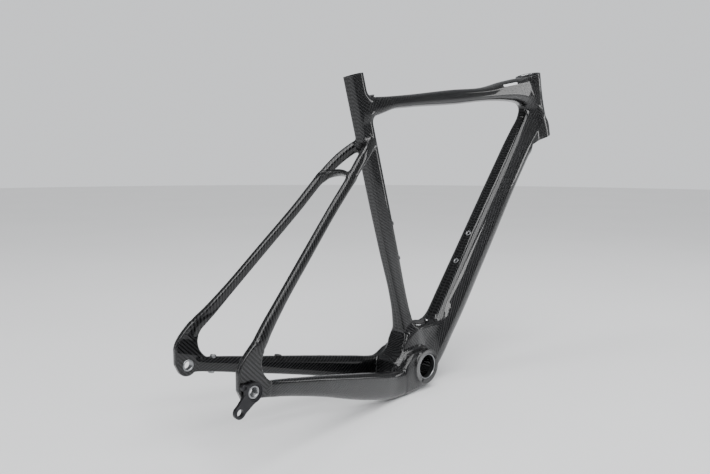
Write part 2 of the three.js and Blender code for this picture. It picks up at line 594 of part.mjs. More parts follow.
const portRing = turned([
  [8.6, -PORT.depth], [PORT.radius - 0.1, -PORT.depth], [PORT.radius - 0.1, GAP],
  [12.8, GAP], [12.4, 1.4], [8.6, 1.4], [8.6, -PORT.depth],
], portAt, UP, 24);
part('charge_port_ring', portRing, ALLOY);
part('charge_port_socket', turned([
  [0, -PORT.depth + 1], [8.2, -PORT.depth + 1], [8.2, -7], [0, -7],
], portAt, UP, 20), RUBBER);
const HINGE = { x: PORT.x + 15.5, z: SHELF_Z + 3.9, pin: 0.9, knuckle: 2.1 };
const hingeAt = new THREE.Vector3(HINGE.x, 0, HINGE.z);
const COVER_LOW = 1.7;
const coverTongue = plate([
  [PORT.x + 6, SHELF_Z + COVER_LOW], [HINGE.x, HINGE.z - HINGE.knuckle],
  [HINGE.x, HINGE.z + HINGE.knuckle - 0.2], [PORT.x + 6, SHELF_Z + COVER_LOW + 2.2],
], -3.4, 3.4);
const cover = cut(
  join(
    turned([[0, COVER_LOW], [12, COVER_LOW], [12.6, COVER_LOW + 1], [11.6, COVER_LOW + 2.2],
      [5, COVER_LOW + 2.7], [0, COVER_LOW + 2.8]], portAt, UP, 24),
    coverTongue, rod(HINGE.knuckle, -3.4, 3.4, hingeAt, LEFT, 16)),
  rod(HINGE.pin + GAP, -9, 9, hingeAt, LEFT, 12));
part('charge_port_cover', cover, RUBBER);
const earOutline = [
  [HINGE.x - 2.2, SHELF_Z + GAP], [54.5, SHELF_Z + GAP], [54.5, SHELF_Z + 1.5],
  [HINGE.x + 3.6, SHELF_Z + 1.5], [HINGE.x + 1.4, HINGE.z + 1.9], [HINGE.x - 2.2, HINGE.z + 1.9],
];
const bracket = cut(
  plate(earOutline, -6.5, 6.5),
  plate([[HINGE.x - 5, SHELF_Z - 1], [HINGE.x + 2.9, SHELF_Z - 1], [HINGE.x + 2.9, HINGE.z + 5],
    [HINGE.x - 5, HINGE.z + 5]], -3.8, 3.8),
  rod(HINGE.pin + 0.1, -9, 9, hingeAt, LEFT, 12),
  rod(2.3, -10, 10, screwAt, UP, 16));
part('charge_port_bracket', bracket, BLACK_ALLOY);
part('charge_port_pin', rod(HINGE.pin - 0.1, -6.5, 6.5, hingeAt, LEFT, 12), STEEL);
part('charge_port_screw', turned([
  [0, -4.5], [2, -4.5], [2, 1.8], [3.6, 1.8], [3.2, 3.2], [0, 3.6],
], screwAt, UP, 16), STEEL);

export default frame;
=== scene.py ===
# %% [markdown]
# # A moulded carbon bicycle frame
#
# A frame like this is one hollow skin of carbon cloth and resin. Its tubes don't stop where they meet:
# they run into each other in soft fillets, and only the metal and rubber fittings are separate pieces.
# This lesson builds the skin from distance fields, because a fillet between two distances is one line
# of arithmetic, and turns the small fittings on a lathe written in a few lines of mesh code.

# %% Load the frame
import json
import math

import bmesh
import bpy
import numpy as np
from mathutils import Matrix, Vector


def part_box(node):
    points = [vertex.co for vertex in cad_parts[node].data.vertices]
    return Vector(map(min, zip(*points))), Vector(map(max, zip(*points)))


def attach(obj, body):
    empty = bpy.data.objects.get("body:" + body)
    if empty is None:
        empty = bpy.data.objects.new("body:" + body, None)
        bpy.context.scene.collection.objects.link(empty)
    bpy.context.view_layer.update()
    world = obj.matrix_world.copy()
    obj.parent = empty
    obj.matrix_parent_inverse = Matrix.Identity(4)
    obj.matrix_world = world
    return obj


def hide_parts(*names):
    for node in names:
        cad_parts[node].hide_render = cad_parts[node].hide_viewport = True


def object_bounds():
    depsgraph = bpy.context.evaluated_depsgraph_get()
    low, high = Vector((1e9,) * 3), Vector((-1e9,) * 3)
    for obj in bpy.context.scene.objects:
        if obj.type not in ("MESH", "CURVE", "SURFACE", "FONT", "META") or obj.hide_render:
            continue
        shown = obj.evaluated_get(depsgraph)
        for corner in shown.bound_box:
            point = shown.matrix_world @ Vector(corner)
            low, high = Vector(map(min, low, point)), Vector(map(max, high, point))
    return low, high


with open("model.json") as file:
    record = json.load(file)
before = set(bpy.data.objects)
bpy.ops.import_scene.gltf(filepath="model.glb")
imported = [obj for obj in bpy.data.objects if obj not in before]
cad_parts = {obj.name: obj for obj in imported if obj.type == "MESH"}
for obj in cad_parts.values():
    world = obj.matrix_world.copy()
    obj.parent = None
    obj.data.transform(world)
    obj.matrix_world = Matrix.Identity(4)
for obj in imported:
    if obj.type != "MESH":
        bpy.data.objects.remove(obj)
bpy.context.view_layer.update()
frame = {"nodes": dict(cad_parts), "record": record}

import openvdb
from mathutils import Matrix, Vector

MM = 0.001  # sizes below are in millimetres, as on a drawing, and meshes are in metres

# %% [markdown]
# ## The camera
#
# The camera comes first, so that every later step can be judged through it. A long look from behind
# the rear axle, a little above the chainstays, shows the drive side and how deep each tube is.

# %% Camera
CAMERA_AT = Vector((-0.9011, -0.7444, 0.3663))
CAMERA_AIM = Vector((-0.1408, 0.0, 0.2390))
CAMERA_ROLL = math.radians(0.15)

lens = bpy.data.cameras.new("camera")
lens.sensor_width = 36
lens.lens = 33.46
camera = bpy.data.objects.new("camera", lens)
bpy.context.scene.collection.objects.link(camera)
turn = (CAMERA_AIM - CAMERA_AT).to_track_quat("-Z", "Y").to_matrix().to_4x4()
camera.matrix_world = Matrix.Translation(CAMERA_AT) @ turn @ Matrix.Rotation(CAMERA_ROLL, 4, "Z")
bpy.context.scene.camera = camera
print("camera is", round((CAMERA_AIM - CAMERA_AT).length, 3), "m from what it looks at")

# %% [markdown]
# ## The lines that the tubes follow
#
# A frame is drawn as a few straight lines in its middle plane. Every section is then measured along
# one of these lines, ahead of it and across it, which keeps the numbers small and easy to change.

# %% Frame geometry
CHAINSTAY_LENGTH = 416
BB_DROP = 69
SEAT_TUBE_LENGTH = 517
HEAD_TUBE_LENGTH = 135
SHELL_RADIUS = 30.5
SHELL_HALF = 43.25
SHELL_BORE = 23
DROPOUT_FACE = 71
DROPOUT_THICKNESS = 9
SHELF_Z = 66
LEFT = np.array([0.0, 1.0, 0.0])
UP = np.array([0.0, 0.0, 1.0])


class Line:
    """A line in the frame's middle plane, at an angle up from forward, with the way ahead across it."""

    def __init__(self, start, degrees):
        angle = math.radians(degrees)
        self.start = np.array(start, float)
        self.along = np.array([math.cos(angle), 0, math.sin(angle)])
        self.ahead = np.array([math.sin(angle), 0, -math.cos(angle)])

    def at(self, along, ahead=0.0, y=0.0):
        return self.start + along * self.along + ahead * self.ahead + y * LEFT

    def local(self, points):
        off = points - self.start
        return off @ self.along, off @ self.ahead, points[:, 1]


AXLE = np.array([-math.sqrt(CHAINSTAY_LENGTH**2 - BB_DROP**2), 0, BB_DROP])
HEAD_TOP = np.array([386.0, 0, 543.0])
HEAD_ANGLE = 72.6
head_down = Line(HEAD_TOP, -HEAD_ANGLE)
HEAD_LINE = Line(head_down.at(HEAD_TUBE_LENGTH), 180 - HEAD_ANGLE)
SEAT_LINE = Line((0, 0, 0), 180 - 73.6)
DOWN_LINE = Line((37.7, 0, 0), 52)
TOP_LINE = Line((-130, 0, 449.6), 6.94)
CHAINSTAY_LINE = Line((0, 0, 0), 180 - math.degrees(math.asin(BB_DROP / CHAINSTAY_LENGTH)))
SEATSTAY_LINE = Line((-409, 0, 110), 45)
print("rear axle at", AXLE.round(1), "mm, head tube's foot at", HEAD_LINE.start.round(1), "mm")

# %% [markdown]
# ## Tubes as distance fields
#
# A distance field answers one question for any point: how far is it from the surface, with a minus
# sign inside? Each tube is a row of stations, and each station's section is a superellipse, which is
# round at an exponent of 2 and squarer above it. Dividing by the slope turns the section's own measure
# into millimetres, near enough for the fillets that come later.

# %% Tube sections
STATION = ("along", "low", "top", "half", "y")
KEYS = ("low", "top", "half", "y", "box_low", "box_top", "narrow")
USUAL = {"y": 0, "box_low": 2, "box_top": 2, "narrow": 1}


def smooth_rows(places, values, spots):
    """A smooth curve through rows of values, read at spots."""
    slopes = np.gradient(values, places, axis=0)
    i = np.clip(np.searchsorted(places, spots) - 1, 0, len(places) - 2)
    span = (places[i + 1] - places[i])[:, None]
    t = (spots - places[i])[:, None] / span
    return (
        (1 + 2 * t) * (1 - t) ** 2 * values[i]
        + t * (1 - t) ** 2 * span * slopes[i]
        + t * t * (3 - 2 * t) * values[i + 1]
        + t * t * (t - 1) * span * slopes[i + 1]
    )


class Tube:
    """A tube lofted along a line. Sizes at each station are how far its two faces lie ahead of the line."""

    def __init__(self, line, stations, side=1, fillet=10, over=(0, 0), **shape):
        rows = [{**USUAL, **shape, **dict(zip(STATION, station))} for station in stations]
        places = np.array([row["along"] for row in rows], float)
        values = np.array([[row[key] for key in KEYS] for row in rows], float)
        values[:, KEYS.index("y")] *= side
        self.line, self.fillet, self.over = line, fillet, over
        self.first, self.last = places[0], places[-1]
        self.spots = np.arange(self.first, self.last + 1)
        self.rows = smooth_rows(places, values, self.spots)
        low, top, half, y = self.rows[:, :4].T
        middles = [line.start + np.outer(spots, line.along)
                   for spots in (self.spots - over[0], self.spots + over[1])]
        spread = [m + np.outer(d, line.ahead) + np.outer(w, LEFT)
                  for m in middles for d in (low, top) for w in (y - half, y + half)]
        self.box = np.min(spread, axis=(0, 1)), np.max(spread, axis=(0, 1))

    def section(self, along):
        return [np.interp(along, self.spots, column) for column in self.rows.T]

    def distance(self, points):
        along, ahead, y = self.line.local(points)
        low, top, half, middle, box_low, box_top, narrow = self.section(along)
        depth = (top - low) / 2
        p = (ahead - (top + low) / 2) / depth
        box = np.where(p > 0, box_top, box_low)
        wide = half * np.where(p > 0, 1, 1 - (1 - narrow) * np.minimum(abs(p), 1))
        p, q = abs(p), abs(y - middle) / wide
        size = np.maximum((p**box + q**box) ** (1 / box), 1e-6)
        slope = np.hypot((p / size) ** (box - 1) / depth, (q / size) ** (box - 1) / wide)
        ends = np.maximum(self.first - self.over[0] - along, along - self.last - self.over[1])
        return np.maximum((size - 1) / np.maximum(slope, 1e-6), ends)


# %% [markdown]
# ## Plates and barrels
#
# Dropouts and the cheeks beside the bottom bracket are flat mouldings with rounded edges. Their
# outline is a few corners, and rounding is free with distances: shrink the shape, then grow it again.


# %% Flat mouldings
def outline_distance(outline, points):
    """How far 2-D points are from an outline, with a minus sign inside."""
    nearest = np.full(len(points), np.inf)
    inside = np.zeros(len(points), bool)
    for a, b in zip(outline, np.roll(outline, -1, axis=0)):
        edge, off = b - a, points - a
        t = np.clip(off @ edge / max(edge @ edge, 1e-9), 0, 1)
        nearest = np.minimum(nearest, ((off - t[:, None] * edge) ** 2).sum(1))
        between = (a[1] > points[:, 1]) != (b[1] > points[:, 1])
        rise = edge[1] if abs(edge[1]) > 1e-9 else 1e-9
        inside ^= between & (off[:, 0] < off[:, 1] / rise * edge[0])
    return np.where(inside, -1, 1) * np.sqrt(nearest)


def curved(*stretches, steps=6):
    """An outline of straight stretches, each [end], and quadratic ones, each [bend, end]."""
    points = [np.array(stretches[0][-1], float)]
    for stretch in stretches[1:]:
        start, end = points[-1], np.array(stretch[-1], float)
        if len(stretch) == 1:
            points.append(end)
            continue
        bend = np.array(stretch[0], float)
        for t in np.linspace(0, 1, steps + 1)[1:]:
            points.append((1 - t) ** 2 * start + 2 * t * (1 - t) * bend + t * t * end)
    return np.array(points)


class Plate:
    """A flat moulding between two values of y, with edges rounded to a radius."""

    def __init__(self, outline, low, high, edge=3, fillet=8):
        self.outline, self.edge, self.fillet = np.array(outline, float), edge, fillet
        self.middle, self.half = (low + high) / 2, (high - low) / 2
        (x0, z0), (x1, z1) = self.outline.min(0), self.outline.max(0)
        self.box = np.array([x0, low, z0]), np.array([x1, high, z1])

    def distance(self, points):
        flat = outline_distance(self.outline, points[:, [0, 2]]) + self.edge
        side = abs(points[:, 1] - self.middle) - self.half + self.edge
        out = np.hypot(np.maximum(flat, 0), np.maximum(side, 0))
        return np.minimum(np.maximum(flat, side), 0) + out - self.edge


class Barrel:
    """A round bar along Y, centred on the bottom bracket."""

    def __init__(self, radius, half, fillet=8):
        self.radius, self.half, self.fillet = radius, half, fillet
        self.box = np.array([-radius, -half, -radius]), np.array([radius, half, radius])

    def distance(self, points):
        radial = np.hypot(points[:, 0], points[:, 2]) - self.radius
        return np.maximum(radial, abs(points[:, 1]) - self.half)


class Arch:
    """The bridge between the seatstays: an elliptic bar whose middle line is an arch over the tyre."""

    def __init__(self, line, along, rise, reach, size, fillet=7):
        self.line, self.along, self.rise, self.reach = line, along, rise, reach
        self.size, self.fillet = size, fillet
        spots = [line.at(along + a, b, y) for a in (-rise, 10) for b in (-9, 9) for y in (-reach, reach)]
        self.box = np.min(spots, axis=0), np.max(spots, axis=0)

    def distance(self, points):
        along, ahead, y = self.line.local(points)
        curve = self.along - self.rise * (y / self.reach) ** 2
        tilt = np.sqrt(1 + (2 * self.rise * y / self.reach**2) ** 2)
        p, q = abs(along - curve) / tilt / self.size[0], abs(ahead) / self.size[1]
        size = np.maximum(np.hypot(p, q), 1e-6)
        slope = np.hypot(p / size / self.size[0], q / size / self.size[1])
        return np.maximum((size - 1) / slope, abs(y) - self.reach)


# %% [markdown]
# ## The stations of each tube
#
# These rows are the design: along the line, the low and top faces, half the width, and for a stay how
# far out it lies. The down tube is deep enough for a battery, the seat tube has a flat back with tight
# corners, the top tube swells into a fairing at the head, and the drive-side chainstay is dropped.

# %% Tubes of the front triangle
SKIN = {}
SKIN["bottom_bracket_lug"] = [
    Plate(curved(
        [(-64, -38)], [(-69, -8), (-62, 14)], [(-44, 20), (-36, 44)], [(-24, 60), (-2, SHELF_Z)],
        [(60, SHELF_Z)], [(80, 67), (94, 84)], [(104, 70)], [(52, -18)], [(38, -34), (10, -35)],
        [(-30, -42)]), -21, 21, edge=5, fillet=0),
    Plate(curved(
        [(-56, 8)], [(-46, 20), (-34, 27)], [(-24, 31), (-8, 28)], [(22, 18)], [(28, -10)],
        [(25, -26), (18, -33)], [(-10, -38), (-40, -40)], [(-56, -39)]), -39.5, -18, edge=6, fillet=9),
    Plate(curved(
        [(-56, 16)], [(-46, 21), (-34, 27)], [(-24, 31), (-8, 28)], [(22, 18)], [(28, -10)],
        [(25, -26), (18, -33)], [(-10, -36), (-40, -29)], [(-56, -26)]), 18, 39.5, edge=6, fillet=9),
]
SKIN["bottom_bracket_shell"] = [Barrel(SHELL_RADIUS, SHELL_HALF + 4, fillet=6)]
SKIN["seat_tube"] = [Tube(SEAT_LINE, [
    (16, -14, 22, 20), (48, -12, 22, 19.5), (76, -9.5, 21, 16.5), (104, -8, 20.5, 13),
    (135, -8, 21, 11.2), (220, -11.5, 22, 11), (340, -14, 21, 11), (430, -14.2, 20.5, 11),
    (SEAT_TUBE_LENGTH, -14.5, 19.5, 11),
], box_low=7, box_top=2.2, over=(0, 8), fillet=16)]
SKIN["down_tube"] = [Tube(DOWN_LINE, [
    (-32, -2, 12, 16), (-16, -16, 22, 22), (8, -24, 28, 27), (70, -24.5, 30.5, 30),
    (250, -24.5, 30.5, 30), (450, -23.5, 28, 29), (495, -23.5, 31, 28.5), (530, -23.5, 45, 27),
    (562, -24, 56, 25), (590, -38, 62, 22),
], box_low=5, box_top=3.2, narrow=0.56, fillet=14)]
SKIN["head_tube"] = [Tube(HEAD_LINE, [
    (0, -31, 31, 31), (14, -29, 30, 29.5), (40, -27, 29, 25.5), (85, -26, 28, 23),
    (120, -25.5, 26.5, 24.5), (HEAD_TUBE_LENGTH, -25.5, 25.5, 25.5),
], over=(8, 8), fillet=14)]
SKIN["top_tube"] = [Tube(TOP_LINE, [
    (0, -13, 23, 10), (25, -12, 20, 12.5), (45, -11.3, 16.5, 14.5), (72, -10.8, 11.4, 15.5),
    (110, -10.8, 11, 16.5), (240, -13, 14, 18), (360, -13.6, 14.5, 19), (420, -21, 17.8, 19.5),
    (470, -25.5, 24, 20.5), (500, -29, 33, 21), (525, -33, 44, 20),
], box_low=2.8, box_top=2.6, fillet=12)]

# %% [markdown]
# ## The rear of the frame
#
# The stays are the same kind of tube, and the side that each is on is a factor of 1 or -1 on its
# offset. The dropouts are plates, round behind the axle, and thin enough to end inside the stays. The
# bridge is an arch, which clears a tyre and stiffens the slender seatstays.

# %% Stays, bridge and dropouts
DRIVE_STAY = [
    (8, -39, 24, 8.6, 31.4), (30, -44, 12, 8.9, 31.5), (54, -49.5, -4, 10, 31.8),
    (78, -52, -7.5, 10.6, 32.8),
    (105, -50.5, -6, 11.5, 35.5),
    (150, -46, -2.4, 11.5, 41), (213, -36, 1.8, 10.5, 50), (257, -27.5, 5, 9.5, 57),
    (324, -17.5, 8.5, 8, 66.5), (360, -13.2, 10.4, 7.1, 71.8), (380, -11.8, 10.8, 6.3, 74.2),
    (402, -9.5, 10.5, 3.9, 75.5),
]
DISC_STAY = [
    (8, -37, 23, 8.6, 31.4), (34, -35.5, 11, 9, 31.5), (66, -34, 7, 10, 32.3),
    (105, -31, 8, 10.5, 35), (150, -27, 9, 10.5, 40.5),
    (213, -22, 9.8, 10, 50), (257, -19, 10, 9.3, 57), (324, -15, 10.5, 8.2, 66.5),
    (360, -12.5, 11, 7.2, 71.8), (380, -11.6, 11, 6.3, 74.2), (402, -9.5, 10.5, 3.9, 75.5),
]
SEATSTAY = [
    (2, -9.5, 10, 3.9, 75.5), (22, -10.8, 10.2, 6.2, 74), (46, -9.8, 9.4, 6, 68.2),
    (85, -8.5, 8, 5.5, 61.5),
    (168, -8, 7.5, 5.5, 50.5), (255, -7.5, 7.5, 5.5, 39.5), (318, -8, 7.5, 5.8, 34),
    (345, -8, 8.5, 6, 29.5), (370, -6.5, 11.5, 6.3, 24), (392, -3.5, 15.5, 6.3, 16.5),
    (410, 0, 19, 6, 9),
]


def dropout_outline():
    """Round behind the axle, with a mouth for each stay."""
    turns = np.radians(np.linspace(-50, -160, 12))
    foot = AXLE[[0, 2]] + 16.5 * np.stack([np.cos(turns), np.sin(turns)], 1)
    stay = [CHAINSTAY_LINE.at(385, reach)[[0, 2]] for reach in (-9.4, 10.4)]
    rear, front = (SEATSTAY_LINE.at(20, reach)[[0, 2]] for reach in (-10.4, 9.6))
    back = curved([AXLE[[0, 2]] + (-20, 4)], [AXLE[[0, 2]] + (-20, 27)],
                  [AXLE[[0, 2]] + (-18, 42), rear])
    throat = curved([front], [AXLE[[0, 2]] + (9, 24), stay[1]])
    return np.vstack([stay[:1], foot, back, throat])


SIDES = {"drive_side": -1, "disc_side": 1}
for (name, side), stations in zip(SIDES.items(), (DRIVE_STAY, DISC_STAY)):
    faces = sorted((side * DROPOUT_FACE, side * (DROPOUT_FACE + DROPOUT_THICKNESS)))
    SKIN["chainstay_" + name] = [
        Tube(CHAINSTAY_LINE, stations, side, box_low=3.2, box_top=3, fillet=5)]
    SKIN["seatstay_" + name] = [
        Tube(SEATSTAY_LINE, SEATSTAY, side, box_low=3, box_top=2.6, fillet=7)]
    SKIN["dropout_" + name] = [Plate(dropout_outline(), *faces, edge=2.4, fillet=2.5)]
SKIN["seatstay_bridge"] = [Arch(SEATSTAY_LINE, 330, 12, 34, (4.2, 7.2))]
print(len(SKIN), "carbon mouldings from", sum(map(len, SKIN.values())), "simple shapes")

# %% [markdown]
# ## One skin from many shapes
#
# A plain union of shapes has a crease wherever two meet. A smooth minimum adds a little material in
# the crease instead, as the laminate does, and its second number is the fillet's size. The mouldings
# join one by one, each with its own fillet. Points far from a shape skip it, to save time.

# %% Smooth union
FAR = 1000.0
REACH = 20.0  # a shape is left out of what is further than this from it


def join(a, b, fillet):
    """The nearer of two distances, with a fillet where they are alike."""
    if fillet == 0:
        return np.minimum(a, b)
    share = np.maximum(fillet - abs(a - b), 0) / fillet
    return np.minimum(a, b) - share**2 * fillet / 4


def shape_distance(shape, points):
    low, high = shape.box
    close = ((points > low - REACH) & (points < high + REACH)).all(1)
    found = np.full(len(points), FAR)
    found[close] = shape.distance(points[close])
    return found


def moulding_distance(name, points):
    return np.min([shape_distance(shape, points) for shape in SKIN[name]], axis=0)


JOIN_ORDER = [shape for shapes in SKIN.values() for shape in shapes]


def skin_distance(points):
    total = np.full(len(points), FAR)
    for shape in JOIN_ORDER:
        total = join(total, shape_distance(shape, points), shape.fillet)
    return total


def slope_of(distance, points, step=0.25):
    """The way in which a distance grows fastest, which is the surface's normal."""
    offsets = np.eye(3) * step
    slope = np.stack([distance(points + o) - distance(points - o) for o in offsets], 1) / (2 * step)
    return slope


def unit(vectors):
    return vectors / np.maximum(np.linalg.norm(vectors, axis=-1, keepdims=True), 1e-9)


# %% [markdown]
# ## From a field to a mesh
#
# The field is sampled on a grid only near the surface: a coarse grid finds where that is, and a fine
# one fills it in. OpenVDB then lays quads through the places where the sign changes. Last, each vertex
# slides down the field's slope until its distance is zero, so that the mesh is far more exact than the
# grid, and a gloss coat on it shows no steps.


# %% Meshing
BAND = 2.5  # half the depth of the sampled layer, in grid steps
GENTLEST = 0.2  # the least squared slope that a settling step divides by


def surface(distance, low, high, step, coarse=4, settle=3):
    """Vertices and quads of the zero surface of a distance field in a box."""
    low = np.array(low, float) - 3 * step
    counts = np.ceil((np.array(high) + 3 * step - low) / step / coarse).astype(int) + 1
    block = coarse * step
    cells = np.stack(np.meshgrid(*map(np.arange, counts), indexing="ij"), -1).reshape(-1, 3)
    rough = distance(low + (cells + 0.5) * block)
    band = BAND * step
    grid = np.where(rough > 0, band, -band).astype(np.float32).reshape(counts)
    for axis in range(3):
        grid = grid.repeat(coarse, axis)
    near = cells[abs(rough) < 0.9 * block + 1.6 * band]
    inner = np.stack(np.meshgrid(*[np.arange(coarse)] * 3, indexing="ij"), -1).reshape(-1, 3)
    fine = (near[:, None] * coarse + inner[None]).reshape(-1, 3)
    grid[tuple(fine.T)] = np.clip(distance(low + (fine + 0.5) * step), -band, band)
    volume = openvdb.FloatGrid(band)
    volume.copyFromArray(grid)
    points, quads = volume.convertToQuads(0.0)
    points = low + (points + 0.5) * step
    for _ in range(settle):
        slope = slope_of(distance, points)
        steep = np.maximum((slope**2).sum(1), GENTLEST)
        points = points - (distance(points) / steep)[:, None] * slope
    return points, quads


STEP = 2.0
lows = np.min([shape.box[0] for shape in JOIN_ORDER], axis=0)
highs = np.max([shape.box[1] for shape in JOIN_ORDER], axis=0)
points, quads = surface(skin_distance, lows, highs, STEP)
print("skin:", len(points), "vertices,", len(quads), "quads")

# %% [markdown]
# ## Cutting the skin
#
# Flat ends and bores need crisp edges, which a grid can't give. So the skin is scored: every mesh edge
# that crosses a cutting surface gets a vertex exactly on it, and the faces split there. The part
# beyond is deleted, and rings of new faces make the rim and the bore's wall. Faces made by a cut are
# marked with their moulding's number, because they need flat normals.

# %% Score, cut and bore
NAMES = list(SKIN)
skin = bmesh.new()
spots = [skin.verts.new(p) for p in points]
for quad in quads:
    corners = [spots[i] for i in dict.fromkeys(quad)]
    if len(corners) > 2 and not skin.faces.get(corners):
        skin.faces.new(corners)
made = skin.faces.layers.int.new("made")


def places_of(mesh):
    mesh.verts.index_update()
    return np.array([v.co for v in mesh.verts])


def score(mesh, where):
    """Splits edges, given as {edge: share of the way along}, and joins the new vertices across faces."""
    fresh = dict.fromkeys(
        bmesh.utils.edge_split(edge, edge.verts[0], share)[1] for edge, share in where.items())
    for face in dict.fromkeys(f for v in fresh for f in v.link_faces):
        across = [v for v in face.verts if v in fresh]
        if len(across) == 2:
            bmesh.utils.face_split(face, *across)


def crossings(mesh, values):
    """The edges along which values, one to each vertex, change sign, and where."""
    found = {}
    for edge in mesh.edges:
        a, b = (values[v.index] for v in edge.verts)
        if a * b < 0:
            found[edge] = a / (a - b)
    return found


def loops_of(edges):
    """Boundary edges as closed rings of vertices, in order."""
    left, rings = dict.fromkeys(edges), []  # a dict keeps its order, so every run is alike
    while left:
        edge = next(iter(left))
        del left[edge]
        ring = list(edge.verts)
        while True:
            step = next((e for e in ring[-1].link_edges if e in left), None)
            if step is None:
                break
            del left[step]
            ring.append(step.other_vert(ring[-1]))
        rings.append(ring[:-1] if ring[0] == ring[-1] else ring)
    return [ring for ring in rings if len(ring) > 2]


def cut_away(mesh, field, low, high):
    """Removes the skin where field is positive inside a box, and returns the rims as rings."""
    def inside(p):
        return ((p > low) & (p < high)).all(1)
    at = places_of(mesh)
    score(mesh, crossings(mesh, np.where(inside(at), field(at), -1.0)))
    mesh.faces.ensure_lookup_table()
    middles = np.array([f.calc_center_median() for f in mesh.faces])
    beyond = np.flatnonzero(inside(middles) & (field(middles) > 0))
    bmesh.ops.delete(mesh, geom=[mesh.faces[i] for i in beyond], context="FACES")
    return loops_of([e for e in mesh.edges if e.is_boundary])


def grow(mesh, layer, owner, ring, targets):
    """A band of new faces from a ring to new places, and the ring there."""
    fresh = [mesh.verts.new(p) for p in targets]
    for i, vert in enumerate(ring):
        j = (i + 1) % len(ring)
        face = mesh.faces.new((vert, ring[j], fresh[j], fresh[i]))
        face[layer] = owner
    return fresh


def ring_at(ring, centre, axis, radius, depth):
    """Where a ring's vertices go on a circle round an axis, at a depth along it."""
    off = np.array([v.co for v in ring]) - centre
    flat = unit(off - np.outer(off @ axis, axis))
    return centre + depth * axis + radius * flat


def close(mesh, layer, owner, ring):
    face = mesh.faces.new(ring)
    face[layer] = owner


def bridge(mesh, layer, owner, *rings):
    """A wall between two rings of any number of vertices."""
    edges = [mesh.edges.get((a, b)) for ring in rings for a, b in zip(ring, ring[1:] + ring[:1])]
    for face in bmesh.ops.bridge_loops(mesh, edges=edges)["faces"]:
        face[layer] = owner


def owner_of(name):
    return NAMES.index(name) + 1


def drill(at, axis, radius, depth, owner, reach=14):
    """A blind round hole from the surface at a point, along an inward axis."""
    at, axis = np.array(at, float), np.array(axis, float)

    def field(p):
        off = p - at
        return radius - np.linalg.norm(off - np.outer(off @ axis, axis), axis=1)
    for ring in cut_away(skin, field, at - reach, at + reach):
        wall = grow(skin, made, owner_of(owner), ring, ring_at(ring, at, axis, radius, depth))
        close(skin, made, owner_of(owner), wall)


# %% Open the tube ends and the bottom bracket
def cut_end(line, place, sign, low, high):
    return cut_away(skin, lambda p: sign * (line.local(p)[0] - place), low, high)


SEAT_POST_ROOM = 110
SEAT_WALL = 2.6
seat_top = SEAT_LINE.at(SEAT_TUBE_LENGTH)
for ring in cut_end(SEAT_LINE, SEAT_TUBE_LENGTH, 1, seat_top - 60, seat_top + 60):
    rim = np.array([v.co for v in ring])
    inward = -slope_of(skin_distance, rim)
    inward = unit(inward - np.outer(inward @ SEAT_LINE.along, SEAT_LINE.along))
    owner = owner_of("seat_tube")
    lip = grow(skin, made, owner, ring, rim + inward * SEAT_WALL)
    wall = grow(skin, made, owner, lip, rim + inward * SEAT_WALL - SEAT_POST_ROOM * SEAT_LINE.along)
    close(skin, made, owner, wall)

HEAD_BORES = {0: 26.5, HEAD_TUBE_LENGTH: 21.2}
inner_rings = []
for place, radius in HEAD_BORES.items():
    end = HEAD_LINE.at(place)
    for ring in cut_end(HEAD_LINE, place, 1 if place else -1, end - 60, end + 60):
        owner = owner_of("head_tube")
        inner_rings.append(grow(
            skin, made, owner, ring, ring_at(ring, end, HEAD_LINE.along, radius, 0)))
bridge(skin, made, owner, *inner_rings)

inner_rings = []
for side in (-1, 1):
    end = np.array([0, side * SHELL_HALF, 0])
    reach = np.array([60, 8, 60])
    for ring in cut_away(skin, lambda p: side * p[:, 1] - SHELL_HALF, end - reach, end + reach):
        owner = owner_of("bottom_bracket_shell")
        inner_rings.append(grow(skin, made, owner, ring, ring_at(ring, end, LEFT, SHELL_BORE, 0)))
bridge(skin, made, owner, *inner_rings)

# %% [markdown]
# A rear axle passes through both dropouts. Each hole is one cut through the plate, whose two rims
# are drawn in to a true circle and joined by a wall.

# %% Axle holes
AXLE_HOLE = 9.3
for name, side in SIDES.items():
    middle = AXLE + side * (DROPOUT_FACE + DROPOUT_THICKNESS / 2) * LEFT
    rings = cut_away(
        skin, lambda p: AXLE_HOLE - np.hypot(p[:, 0] - AXLE[0], p[:, 2] - AXLE[2]),
        middle - 12, middle + 12)
    rims = [grow(skin, made, owner_of("dropout_" + name), ring,
                 ring_at(ring, middle, LEFT, AXLE_HOLE, (np.array(ring[0].co) - middle)[1] * 0.9))
            for ring in rings]
    if len(rims) == 2:
        bridge(skin, made, owner_of("dropout_" + name), *rims)

# %% [markdown]
# Small fittings sit in blind holes. Drilling them in the skin, and not laying the fittings on it,
# leaves the fine dark line round each one that a bonded insert has.

# %% Holes for the small fittings
BOSS_PLACES = (196, 260)
BOSS_HOLE = 4.2
PORT_AT = np.array([24.0, 0, SHELF_Z])
PORT_HOLE = 11.3
for along in BOSS_PLACES:
    drill(SEAT_LINE.at(along, 22), -SEAT_LINE.ahead, BOSS_HOLE, 12, "seat_tube", reach=7)
    drill(DOWN_LINE.at(along, -24.5), DOWN_LINE.ahead, BOSS_HOLE, 12, "down_tube", reach=7)
drill(PORT_AT, -UP, PORT_HOLE, 15, "bottom_bracket_lug")
CLAMP_AT = SEAT_LINE.at(474, 31)
drill(CLAMP_AT, -SEAT_LINE.along, 5.4, 6, "top_tube", reach=9)

stay_tube = SKIN["chainstay_disc_side"][0]


def on_disc_stay(along, ahead):
    return CHAINSTAY_LINE.at(along, ahead, stay_tube.section(along)[3])


